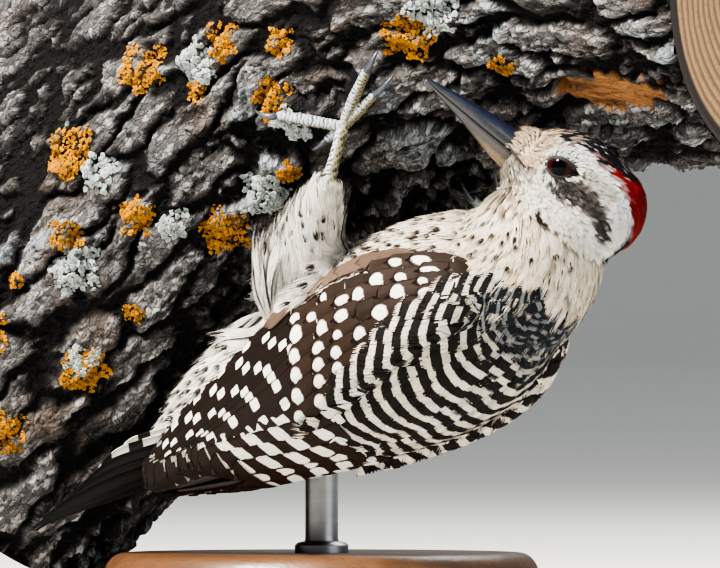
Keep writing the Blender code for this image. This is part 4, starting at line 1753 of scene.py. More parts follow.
    def rows(self, form: bpy.types.Object) -> Roots:
        """Rows of barred feathers over the back, from the nape to the rump.

        Args:
            form: The form of trunk and wings together.

        Returns:
            The roots.
        """
        rng = np.random.default_rng(SEED + 1)
        search = tree_of(form)
        found = []
        count = int((self.first_row - self.last_row) / self.row_space) + 1
        for k in range(count):
            start = self.first_row - k * self.row_space
            for i in range(-20, 21):
                aside = (i + 0.5 * (k % 2)) * self.lane_space + rng.normal(0, 0.25)
                x = start + 0.28 * max(0.0, abs(aside) - 5) + rng.normal(0, 0.3)
                angle = aside / self.back_radius
                if abs(math.degrees(angle)) > self.back_reach(x - 5):
                    continue
                way = Vector((0, math.sin(angle), math.cos(angle)))
                start_at = BIRD @ (Vector((x, 0, -2.0)) + way * 45)
                hit, facing, _, _ = search.ray_cast(start_at, BIRD.to_3x3() @ -way)
                if hit is not None:
                    found.append((*hit, *facing, aside, x))
        table = np.array(found)
        places, out, aside, x = table[:, :3], unit(table[:, 3:6]), table[:, 6], table[:, 7]
        n = len(table)
        splay = np.sign(aside) * step(2, 16, np.abs(aside))
        way = np.stack([-np.ones(n), splay * 0.30, -0.16 * np.abs(splay)], -1)
        lie = turned(way, BIRD)
        lie = unit(lie - out * np.sum(lie * out, axis=1, keepdims=True))
        swing = rng.normal(0, 0.09, (n, 1))
        lie = unit(lie + np.cross(out, lie) * swing)
        fore = step(27.0, 33.0, x + rng.normal(0, 1.0, n)) * step(21.0, 17.5, np.abs(aside))
        length = np.full(n, self.row_length) * rng.uniform(0.9, 1.08, n) * (1 - 0.40 * fore)
        width = np.full(n, self.row_width) * rng.uniform(0.85, 1.1, n) * (1 - 0.38 * fore)
        dull = rng.uniform(0.80, 1.06, (n, 1))
        dull = dull * (1 + rng.normal(0, 0.03, (n, 1)) * np.array([[1.0, 0.0, -1.4]]))
        tint = blend(np.tile((0.72, 0.665, 0.575), (n, 1)),
                     np.tile((0.125, 0.145, 0.165), (n, 1)), fore * 0.9)
        dark = blend(np.tile((0.012, 0.0085, 0.0075), (n, 1)), np.tile(BLUE_BLACK, (n, 1)), fore)
        across = np.cross(lie, out) * width[:, None] / 2
        tips = places + lie * length[:, None]
        first, last = self.bar(places), self.bar(tips)
        lean = self.bar(places + lie * length[:, None] * 0.8 + across)
        lean -= self.bar(places + lie * length[:, None] * 0.8 - across)
        jitter = rng.normal(0, 0.045 + 0.22 * fore, n)
        spot = np.stack([0.285 + 0.065 * fore, np.clip(lean / 2, -1, 1), np.full(n, -1.0)], -1)
        beat = np.stack([first + 30.0 + jitter, last - first, np.full(n, 0.6)], -1)
        return Roots(places=places, out=out, lie=lie, length=length, width=width,
                     cut=8 + rng.integers(0, 4, n), sunk=np.full(n, 0.55),
                     raised=np.full(n, 0.30) + rng.uniform(0, 0.25, n), tint=tint * dull,
                     mark=dark, spot=spot, beat=beat)

    def lay(self, name: str, roots: Roots, form: bpy.types.Object,
            finish: bpy.types.Material, patch: float = 0.003) -> bpy.types.Object:
        """Makes one piece of the coat.

        Args:
            name: Its name.
            roots: Where its feathers grow.
            form: What they lie on.
            finish: Their material.
            patch: Size of each feather's patch on the map OFBake.

        Returns:
            The piece.
        """
        host = roots.host(name + "_roots")
        grow(host, self.tree, Kit=self.kit.group, Form=form, Patch=patch, Finish=finish)
        return keep(settled(host, name), "plumage_white")


def chosen(roots: Roots, mask: np.ndarray) -> Roots:
    """Some of the roots."""
    return Roots(**{key: rows[mask] for key, rows in vars(roots).items()})


@dataclass
class Skin:
    """The bird's body under the coat, in one piece without seams."""

    plumage: Plumage
    depth: tuple[float, float, float] = (0.75, 1.2, 1.5)
    in_bill: float = 2.3

    def build(self, form: bpy.types.Object, finish: bpy.types.Material) -> bpy.types.Object:
        """Makes the skin from the coat's form.

        Args:
            form: The coat's form.
            finish: Its material.

        Returns:
            The skin, with a fold round each eye and sunk under the eyeballs.
        """
        mesh = form.data.copy()
        eyes = [Eye(side) for side in SIGN]
        self.refine(mesh, eyes)
        places, facing = coords(mesh), normals(mesh)
        zone = self.plumage.zones(places)
        h = to_local(places, HEAD)
        depth = np.where(zone <= Zone.THROAT.value, self.depth[0], self.depth[2])
        depth = np.where(zone == Zone.NECK.value, self.depth[1], depth)
        depth = depth + (self.in_bill - depth) * step(13.8, 15.6, h[:, 0]) * (
            np.hypot(h[:, 1], h[:, 2] + 3.0) < 8)
        moved = places - facing * depth[:, None]
        h = to_local(moved, HEAD)
        for eye in eyes:
            h = eye.folded(h)
        close = near_eyes(h)
        moved[close] = to_world(h[close], HEAD)
        move_to(mesh, moved)
        rng = np.random.default_rng(SEED)
        tint = self.plumage.tints(places, rng)
        lidded = np.min([eye.share(to_local(moved, HEAD)) for eye in eyes], axis=0)
        write(mesh, "tint", blend(tint, (0.030, 0.025, 0.024), step(1.36, 1.20, lidded)))
        chart(mesh, unwrapped(coords(mesh))[:, :2])
        dress(mesh, finish)
        return keep(linked("skin", mesh), "plumage_white", "trunk", "neck", "head",
                    "thigh_left", "thigh_right")

    @staticmethod
    def refine(mesh: bpy.types.Mesh, eyes: Sequence[Eye]) -> None:
        """Splits the skin's faces near the eyes, for the lids."""
        bm = bmesh.new()
        bm.from_mesh(mesh)
        for reach in (6.0, 4.8, 4.0):
            spots = [Vector(to_world(eye.centre[None] + eye.way * 3.0, HEAD)[0]) * MM
                     for eye in eyes]
            near = {vert for vert in bm.verts
                    if min((vert.co - spot).length for spot in spots) < reach * MM}
            edges = [edge for edge in bm.edges if edge.verts[0] in near
                     and edge.verts[1] in near]
            bmesh.ops.subdivide_edges(bm, edges=edges, cuts=1, use_grid_fill=True)
        bmesh.ops.triangulate(bm, faces=[face for face in bm.faces if len(face.verts) > 4])
        bm.to_mesh(mesh)
        bm.free()


@dataclass(frozen=True)
class Quill:
    """One wing feather, given on the wing: x and share of the way from its lower edge.

    Its pale marks lie at first, first - space and so on along the bird.
    """

    root: tuple[float, float]
    tip: tuple[float, float]
    width: float
    low: float
    high: float
    spot: tuple[float, float, float]
    first: float = 0.0
    space: float = 100.0
    square: float = 0.0
    tint: Colour = BROWN
    slant: float = 0.0
    single: bool = False
    plain: float = 0.0


@dataclass
class Wing:
    """A folded wing: flight feathers in a fan, and coverts with their pale spots over them."""

    side: str
    thick: float = 0.22
    sections: tuple = (
        (31.0, 1.4, 13.6, 11.0, 2.0, 16.0), (27.0, 1.0, 17.4, 16.2, -6.0, 34.0),
        (17.0, 0.6, 21.8, 20.8, -11.0, 38.0), (4.0, -0.2, 23.0, 22.4, -15.0, 46.0),
        (-10.0, -0.6, 22.0, 21.4, -16.0, 55.0), (-22.0, -0.6, 19.8, 19.0, -15.0, 66.0),
        (-35.0, -0.4, 16.2, 15.8, -12.0, 76.0), (-48.0, 0.2, 12.2, 12.2, -5.0, 84.0),
        (-60.0, 1.2, 7.6, 8.4, 8.0, 86.5), (-66.0, 1.8, 5.0, 6.0, 20.0, 85.0),
        (-70.0, 2.6, 2.6, 3.6, 35.0, 80.0))
    flights: tuple = (
        (8.0, -0.10, -60.0, 0.02, 5.4, -21.0, 8.8), (7.0, -0.02, -66.5, 0.10, 5.8, -20.1, 8.4),
        (6.0, 0.10, -69.6, 0.22, 6.0, -21.9, 9.0), (5.0, 0.21, -69.6, 0.34, 6.0, -19.9, 8.8),
        (4.0, 0.31, -68.4, 0.44, 6.2, -24.4, 8.2), (3.0, 0.40, -66.0, 0.52, 6.4, -22.0, 8.0),
        (2.0, 0.50, -62.0, 0.56, 6.6, -21.6, 7.8), (1.0, 0.60, -58.0, 0.60, 7.0, -20.8, 7.6))
    tertials: tuple = (
        (-8.0, 0.74, -55.5, 0.62, 7.6, -21.8, 7.8), (-9.0, 0.88, -54.0, 0.66, 8.0, -23.4, 7.6),
        (-10.0, 1.02, -52.5, 0.72, 8.4, -25.8, 7.3),
        (-12.0, 1.16, -50.0, 0.84, 8.8, -23.2, 7.2), (-14.0, 1.30, -46.0, 1.00, 9.2, -19.6, 6.8))
    coverts: tuple = (
        (-12.0, 0.13, 2.6, 2.4), (-12.0, 0.28, 3.4, 4.2), (-13.5, 0.44, 2.9, 3.7),
        (-14.6, 0.57, 2.9, 3.7), (-16.5, 0.70, 2.9, 3.7), (-18.7, 0.83, 2.8, 3.2),
        (-7.1, 0.22, 2.4, 2.2), (-4.6, 0.38, 2.8, 4.2), (-6.7, 0.51, 3.0, 3.3),
        (-8.0, 0.62, 3.0, 3.3), (-9.4, 0.73, 2.8, 3.3), (-11.6, 0.85, 3.0, 3.3),
        (-3.6, 0.10, 1.6, 2.6), (1.6, 0.22, 3.6, 2.2), (1.0, 0.36, 3.4, 2.8),
        (-1.0, 0.50, 2.2, 2.4), (-2.6, 0.62, 2.6, 3.0), (-3.7, 0.74, 2.8, 3.2),
        (-5.4, 0.86, 3.0, 3.0), (5.8, 0.25, 2.9, 4.2), (5.0, 0.42, 0.1, 0.1),
        (4.5, 0.60, 2.9, 3.6), (4.0, 0.72, 3.0, 2.6), (2.4, 0.84, 3.0, 3.0),
        (8.5, -0.02, 0.1, 0.1), (10.6, 0.15, 3.2, 4.0), (11.0, 0.33, 0.1, 0.1),
        (10.5, 0.50, 3.6, 3.5), (10.0, 0.68, 2.4, 2.6), (15.0, -0.05, 3.0, 2.2),
        (16.4, 0.18, 2.4, 2.4), (15.3, 0.37, 3.2, 4.4), (16.0, 0.56, 0.1, 0.1),
        (20.6, -0.06, 4.0, 2.4), (22.5, 0.12, 3.6, 2.2), (21.0, 0.28, 1.8, 2.2),
        (21.4, 0.45, 3.0, 2.6), (22.0, 0.64, 2.2, 2.0), (26.5, 0.10, 0.1, 0.1),
        (27.0, 0.40, 0.1, 0.1))
    rim: tuple = ((26.0, -0.12, 4.0, -0.14), (21.0, -0.22, -2.0, -0.13),
                  (13.0, -0.25, -12.0, -0.06), (4.0, -0.19, -22.0, -0.01))

    def __post_init__(self) -> None:
        """Reads the sections into a finer table and seeds the differences."""
        self.sign = SIGN[self.side]
        self.table = catmull(self.sections, 90)[::-1]
        self.rng = np.random.default_rng(SEED + self.sign)

    def at(self, x: np.ndarray, t: np.ndarray, lift: np.ndarray) -> np.ndarray:
        """Points over the wing's surface, in the bird's frame.

        Args:
            x: Places along the bird.
            t: Share of the way from the lower to the upper edge.
            lift: Height over the surface.

        Returns:
            Rows of x, y, z.
        """
        z, w, h, low, high = (np.interp(x, self.table[:, 0], self.table[:, k])
                              for k in range(1, 6))
        a = np.radians(low + (high - low) * t)
        return np.stack([x, self.sign * (w + lift) * np.cos(a), z + (h + lift) * np.sin(a)],
                        -1)

    def breadth(self, x: np.ndarray) -> np.ndarray:
        """Width of the wing's surface along its curve."""
        w, low, high = (np.interp(x, self.table[:, 0], self.table[:, k]) for k in (2, 4, 5))
        return np.maximum(w * np.radians(high - low), 1.5)

    def covers(self, places: np.ndarray, margin: float = 9.0) -> np.ndarray:
        """Whether the wing lies over places of the trunk.

        Args:
            places: World points.
            margin: Degrees within its edges.

        Returns:
            One truth value per place.
        """
        b = to_local(places, BIRD)
        z, w, h, low, high = (np.interp(b[:, 0], self.table[:, 0], self.table[:, k])
                              for k in range(1, 6))
        a = np.degrees(np.arctan2((b[:, 2] - z) / h, self.sign * b[:, 1] / w))
        inside = (b[:, 0] < 28) & (b[:, 0] > -62)
        under = np.where((b[:, 0] < 25) & (b[:, 0] > -46), -5.0, margin)
        return inside & (a > low + under) & (a < high - margin)

    def lay(self, batch: Batch, quill: Quill, rows: int, cell: tuple[float, float]) -> None:
        """Adds one feather: a closed thin vane with a ridge along its shaft.

        Args:
            batch: Where it goes.
            quill: The feather.
            rows: Rows along it.
            cell: Its place on the map OFBake.
        """
        lanes = np.array([-1.0, -0.84, -0.62, -0.4, -0.2, -0.06, 0.3, 0.65, 1.0])
        s = np.linspace(0, 1, rows) ** 0.85
        x = quill.root[0] + (quill.tip[0] - quill.root[0]) * s
        ease = s * s * (3 - 2 * s)
        t = quill.root[1] + (quill.tip[1] - quill.root[1]) * ease
        reach = abs(quill.tip[0] - quill.root[0])
        blunt = np.clip(1 - (1 - s) * reach / (quill.width * 0.62), 0, 1)
        shape = np.sqrt(np.clip(1 - blunt ** 2.4, 0.003, 1))
        shape *= 0.62 + 0.38 * step(0.0, 0.25, s)
        half = quill.width / 2 * shape
        c, half_grid = np.meshgrid(lanes, half)
        x_grid = np.repeat(x[:, None], len(lanes), 1)
        s_grid = np.repeat(s[:, None], len(lanes), 1)
        ragged = self.rng.normal(0, 0.10, c.shape) * (np.abs(c) > 0.9)
        t_grid = t[:, None] + (c * half_grid + ragged) / self.breadth(x)[:, None]
        x_grid = x_grid + 0.25 * quill.width * np.abs(c) * step(0.8, 1.0, s_grid)
        tilt = -0.44 * c * (0.35 + 0.65 * s_grid)
        camber = 0.09 * (1 - c * c) + 0.07 * (np.abs(c + 0.13) < 0.1)
        lift = quill.low + (quill.high - quill.low) * s_grid + tilt + camber
        lift = lift + 0.05 * np.sin(x_grid * 1.7 + c * 2 + quill.tip[0])
        top = self.at(x_grid, t_grid, lift).reshape(-1, 3)
        under = self.at(x_grid, t_grid, lift - self.thick).reshape(-1, 3)
        n, m = rows, len(lanes)
        faces = plate_faces(n, m, self.sign < 0)
        phase = (x_grid + quill.slant * c - quill.first) / quill.space + 20.5
        phase = np.where(np.abs(phase - 20.5) > 0.5, 20.0, phase) if quill.single else phase
        phase = np.where(x_grid < quill.tip[0] + quill.plain, 20.0, phase)
        beat = np.stack([phase.ravel(), np.zeros(n * m), np.full(n * m, quill.square)], -1)
        points = to_world(np.concatenate([top, under]), BIRD)
        along = np.clip(0.15 + 0.85 * s_grid, 0, 1).ravel()
        uv = np.stack([cell[0] + 0.070 * (c.ravel() + 1) / 2, cell[1] + 0.090 * s_grid.ravel()],
                      -1)
        shade = np.array(quill.tint) * self.rng.uniform(0.8, 1.2)
        pale = np.array(WHITE) * self.rng.uniform(0.88, 1.0)
        batch.add(points, faces, along=np.tile(along, 2), across=np.tile(c.ravel(), 2),
                  beat=np.tile(beat, (2, 1)), spot=np.array([quill.spot]), uv=np.tile(uv, (2, 1)),
                  tint=shade[None, :], mark=pale[None, :])

    def quills(self) -> list[tuple[Quill, int]]:
        """The wing's feathers, from the innermost layer outwards, with their rows."""
        made: list[tuple[Quill, int]] = []
        rng = self.rng
        dark = (BROWN[0] * 0.58, BROWN[1] * 0.56, BROWN[2] * 0.58)
        shoulder = (BROWN[0] * 0.66, BROWN[1] * 0.64, BROWN[2] * 0.66)
        for k, (x, t, tip, end, width, first, space) in enumerate(self.flights):
            deep = float(np.interp(tip, (-70.0, -46.0), (0.45, 1.0)))
            made.append((Quill(
                root=(x, t), tip=(tip, end), width=width, low=-0.80 + 0.05 * k,
                high=-0.40 + 0.07 * k, tint=tuple(deep * value for value in dark),
                spot=(1.22 / space, 0.60, 0.34), square=0.8,
                first=first + rng.normal(0, 0.2), space=space, plain=9.0 - 5.0 * deep), 56))
        for k, (x, t, tip, end, width, first, space) in enumerate(self.tertials):
            made.append((Quill(
                root=(x, t), tip=(tip, end), width=width, low=-1.20 + 0.05 * k,
                high=0.10 + 0.09 * k, tint=dark, spot=(1.70 / space, 0.58, 0.52),
                square=0.45, first=first, space=space, slant=-1.3, plain=6.0), 56))
        for x, t, tip, end in self.rim:
            made.append((Quill(
                root=(x, t), tip=(tip, end), width=3.4, low=0.05, high=0.62,
                spot=(0.001, 0.0, 0.001), tint=(0.118, 0.078, 0.055)), 28))
        for x, t, long, wide in sorted(self.coverts):
            width = max(4.6, wide + 1.3) * rng.uniform(0.96, 1.06)
            reach = 1.45 + long / 2
            space = 12.0
            rise = 0.10 + 0.016 * (x + 20)
            made.append((Quill(
                root=(min(x + 14.0, 31.0), min(t, 0.97)), tip=(x - reach, t + 0.01),
                width=width, low=rise - 0.55, high=rise + 0.10, tint=shoulder,
                spot=(long / 2 / space, 0.0, wide / width), first=x, space=space,
                single=True), 22))
        return made

    def build(self, finish: bpy.types.Material) -> bpy.types.Object:
        """Makes the wing.

        Args:
            finish: The feathers' material.

        Returns:
            The piece.
        """
        batch = Batch()
        self.core(batch)
        for number, (quill, rows) in enumerate(self.quills()):
            cell = (0.005 + 0.075 * (number % 13), 0.10 + 0.095 * (number // 13))
            self.lay(batch, quill, rows, cell)
        name = "wing_" + self.side
        return keep(batch.build(name + "_feathers", finish), "plumage_barred", name)

    def core(self, batch: Batch) -> None:
        """Adds the wing's own body, under its feathers."""
        n, m = 44, 12
        x = np.linspace(29.5, -62.0, n)
        t = np.linspace(0.02, 0.98, m)
        x_grid, t_grid = np.meshgrid(x, t, indexing="ij")
        thick = np.interp(x, (-70, 31), (0.5, 2.0))[:, None] * np.ones((1, m))
        top = self.at(x_grid, t_grid, np.full((n, m), -0.95))
        under = self.at(x_grid, t_grid, -0.95 - thick * 0.7)
        ring = np.concatenate([top, under[:, ::-1]], axis=1)
        faces = tube_faces(n, 2 * m, self.sign > 0)
        rows = np.repeat(np.linspace(0, 1, n), 2 * m)
        lanes = np.tile(np.concatenate([t, t[::-1]]) * 2 - 1, n)
        uv = np.stack([0.01 + 0.9 * (lanes + 1) / 2, 0.005 + 0.085 * rows], -1)
        batch.add(to_world(ring.reshape(-1, 3), BIRD), faces, along=0.8, across=lanes,
                  beat=np.array([[0.0, 0.0, 0.0]]), spot=np.array([[0.001, 0.0, 0.001]]),
                  uv=uv, tint=np.array([GREY_BROWN]), mark=np.array([WHITE]))


@dataclass
class Tail:
    """The closed tail: pairs of stiff pointed feathers, the middle pair on top."""

    sections: tuple = ((-44.0, 6.4, 4.0), (-56.0, 8.0, 3.0), (-68.0, 9.2, 2.2),
                       (-80.0, 8.6, 1.5), (-90.0, 6.4, 1.2), (-97.0, 3.6, 1.5),
                       (-100.5, 1.0, 2.0))
    arch: float = 0.030
    thick: float = 0.24
    pairs: tuple = ((-100.0, 0.4, 1.3, 3.9), (-96.5, 1.6, 3.2, 3.9), (-92.5, 2.9, 5.2, 3.8),
                    (-88.0, 4.2, 6.7, 3.6), (-82.0, 5.3, 7.6, 3.2))

    def __post_init__(self) -> None:
        """Reads the sections into a finer table."""
        self.table = catmull(self.sections, 50)[::-1]

    def at(self, x: np.ndarray, y: np.ndarray, lift: np.ndarray) -> np.ndarray:
        """Points over the tail's upper surface, in the bird's frame."""
        top = np.interp(x, self.table[:, 0], self.table[:, 2])
        return np.stack([x, y, top - self.arch * y * y + lift], -1)

    def build(self, finish: bpy.types.Material) -> bpy.types.Object:
        """Makes the tail.

        Args:
            finish: The feathers' material.

        Returns:
            The piece.
        """
        batch = Batch()
        number = 0
        for order, (tip, near, far, width) in enumerate(self.pairs[::-1]):
            depth = -1.35 + 0.30 * order
            outer = order < 2
            for sign in (1, -1):
                number += 1
                self.vane(batch, sign, tip, near, far, width, depth, outer, number)
        return keep(batch.build("tail_feathers", finish), "tail_black", "tail")

    def vane(self, batch: Batch, sign: int, tip: float, near: float, far: float,
             width: float, depth: float, outer: bool, number: int) -> None:
        """Adds one tail feather.

        Args:
            batch: Where it goes.
            sign: 1 on the left.
            tip: Where it ends.
            near: Its shaft's distance from the middle at its root.
            far: That distance at its widest.
            width: Its half width on the inner side and twice that on the whole.
            depth: Its height under the tail's surface.
            outer: Whether it is one of the white-edged outer ones.
            number: Its place on the map OFBake.
        """
        rows = 42
        lanes = np.array([-1.0, -0.6, -0.25, -0.08, 0.08, 0.25, 0.6, 1.0])
        s = np.linspace(0, 1, rows)
        x = -45.0 + (tip + 45.0) * s
        middle = near + (far - near) * np.sin(np.pi * np.minimum(s * 0.75, 0.5))
        middle *= 1 - 0.62 * step(0.55, 1.0, s)
        half = width / 2 * 1.35 * (1 - step(0.62, 1.04, s)) ** 0.8
        c, half_grid = np.meshgrid(lanes, half)
        y = sign * (middle[:, None] + c * half_grid)
        shaft = 0.16 * (np.abs(c) < 0.1)
        tilt = -0.10 * c
        lift = depth + tilt + 0.10 * (1 - c * c) + shaft
        grid_x = np.repeat(x[:, None], len(lanes), 1) + 0.5 * np.abs(c) * half_grid
        top = self.at(grid_x, y, lift).reshape(-1, 3)
        under = self.at(grid_x, y, lift - self.thick).reshape(-1, 3)
        n, m = rows, len(lanes)
        faces = plate_faces(n, m, sign < 0)
        tint = (0.62, 0.60, 0.55) if outer else (0.0055, 0.005, 0.0055)
        mark = (0.010, 0.008, 0.008)
        spot = (0.22, 0.0, 3.0) if outer else (0.001, 0.0, 0.001)
        beat = np.stack([5.0 * s, np.zeros(n), np.full(n, 0.5)], -1).repeat(m, 0)
        uv = np.stack([0.01 + 0.095 * (number - 1) + 0.085 * (c.ravel() + 1) / 2,
                       0.02 + 0.95 * np.repeat(s, m)], -1)
        batch.add(to_world(np.concatenate([top, under]), BIRD), faces,
                  along=np.tile(np.repeat(0.3 + 0.7 * s, m), 2), across=np.tile(c.ravel(), 2),
                  beat=np.tile(beat, (2, 1)), spot=np.array([spot]), uv=np.tile(uv, (2, 1)),
                  tint=np.array([tint]), mark=np.array([mark]))


@dataclass
class Bill:
    """The chisel bill: two halves of horn with a ridge, a nostril groove and a cutting edge."""

    sections: tuple = ((12.5, 1.0, -2.2, -7.1, 2.6), (17.5, 0.9, -2.35, -6.9, 2.9),
                       (24.0, 0.25, -2.6, -5.7, 2.3), (30.6, -0.85, -2.75, -4.5, 1.6),
                       (35.6, -1.95, -2.85, -3.8, 1.05), (38.4, -2.55, -2.85, -3.25, 0.6))
    gap: float = 0.20
    lower_shorter: float = 0.7
    rows: int = 60
    sides: int = 24
    upper_tint: Colour = (0.019, 0.020, 0.023)
    # Blue for the top of the upper half: the horn's blue-black together with a painted sheen of
    # sky.
    culmen_tint_and_sheen: Colour = (0.004, 0.009, 0.028)
    lower_tint: Colour = (0.032, 0.030, 0.031)
    lower_base: Colour = (0.25, 0.165, 0.070)
    gape_front: tuple[float, float, float] = (16.5, 4.2, -1.0)
    gape_rear: tuple[float, float, float] = (10.5, 7.1, -1.4)
    gape_bow: tuple[float, float, float] = (0.0, 0.1, -0.15)

    def half(self, upper: bool, finish: bpy.types.Material) -> bpy.types.Object:
        """Makes one half.

        Args:
            upper: Which half.
            finish: Its material.

        Returns:
            The piece.
        """
        table = catmull(self.sections, self.rows)
        x, culmen, line, under, w = table.T
        shift = 0.0 if upper else self.lower_shorter * (x - x[0]) / 25
        flat = line + self.gap / 2 if upper else line - self.gap / 2
        ridge = culmen if upper else under
        a = np.pi * np.arange(self.sides) / (self.sides - 1)
        side = w[:, None] * np.sign(np.cos(a)) * np.abs(np.cos(a)) ** 0.8
        rise = np.sin(a) ** 0.9
        crest = 0.05 * np.abs(np.cos(a)) ** 6
        groove = 0.16 * np.exp(-((rise - 0.52) / 0.10) ** 2)
        groove = groove * step(27.0, 19.0, x)[:, None]
        side = side * (1 - groove - (crest if upper else 0.0))
        z = flat[:, None] + (ridge - flat)[:, None] * rise
        points = np.stack([np.repeat((x - shift)[:, None], self.sides, 1), side, z], -1)
        faces = tube_faces(self.rows, self.sides, upper)
        root = step(27.0, 15.0, x)[:, None, None]
        tint = np.array(self.upper_tint if upper else self.lower_tint)
        tint = np.broadcast_to(tint, points.shape)
        if upper:
            # The top of the upper half turns blue, own blue-black and painted sky sheen; the
            # whole half gets slightly paler towards the root.
            top = step(0.45, 0.80, rise)[None, :, None]
            tint = tint + (np.array(self.culmen_tint_and_sheen) - tint) * top + root * 0.006
        else:
            keel = (rise ** 2)[None, :, None] * root
            tint = tint + (np.array(self.lower_base) - tint) * np.clip(keel * 1.3, 0, 1)
        flat_points = points.reshape(-1, 3)
        uv = np.stack([np.tile(a / np.pi * 0.9 + 0.05, self.rows),
                       np.repeat(np.linspace(0.05, 0.95, self.rows), self.sides)], -1)
        batch = Batch()
        batch.add(to_world(flat_points, HEAD), faces, tint=tint.reshape(-1, 3),
                  horn=flat_points * np.array([0.02, 1.0, 1.0]), uv=uv)
        name = "bill_upper" if upper else "bill_lower"
        return keep(batch.build(name + "_horn", finish), "bill_slate", name)

    def gape(self, side: str, finish: bpy.types.Material) -> bpy.types.Object:
        """Makes the thin bare fold that runs on from the gap between the halves.

        Args:
            side: Which side of the head.
            finish: Its material.

        Returns:
            The piece.
        """
        line = arc(self.gape_front, self.gape_rear, self.gape_bow, 40)
        line = line * np.array([1.0, SIGN[side], 1.0])
        n, m = len(line), 8
        ahead = unit(np.gradient(line, axis=0))
        out = unit(line * np.array([0.0, 1.0, 0.25]))
        out = unit(out - ahead * np.sum(out * ahead, axis=1, keepdims=True))
        across = np.cross(ahead, out)
        s = np.linspace(0, 1, n)
        thick = 0.03 + 0.26 * np.sin(np.pi * np.clip(s * 0.9 + 0.08, 0, 1)) ** 0.7
        a = np.linspace(0, 2 * np.pi, m, endpoint=False)
        points = (line + out * 0.20)[:, None] + thick[:, None, None] * (
            across[:, None] * np.cos(a)[:, None] + out[:, None] * 0.8 * np.sin(a)[:, None])
        faces = grid(n, m, True).tolist() + [list(range(m)), list(range((n - 1) * m, n * m))]
        uv = np.stack([np.repeat(0.05 + 0.9 * s, m), np.tile(0.1 + 0.8 * a / 6.3, n)], -1)
        batch = Batch()
        batch.add(to_world(points.reshape(-1, 3), HEAD), faces, uv=uv,
                  ridge=np.repeat(0.5 + 0.5 * np.sin(s * 60), m))
        return keep(outward(batch.build("gape_" + side, finish)), "bill_slate")


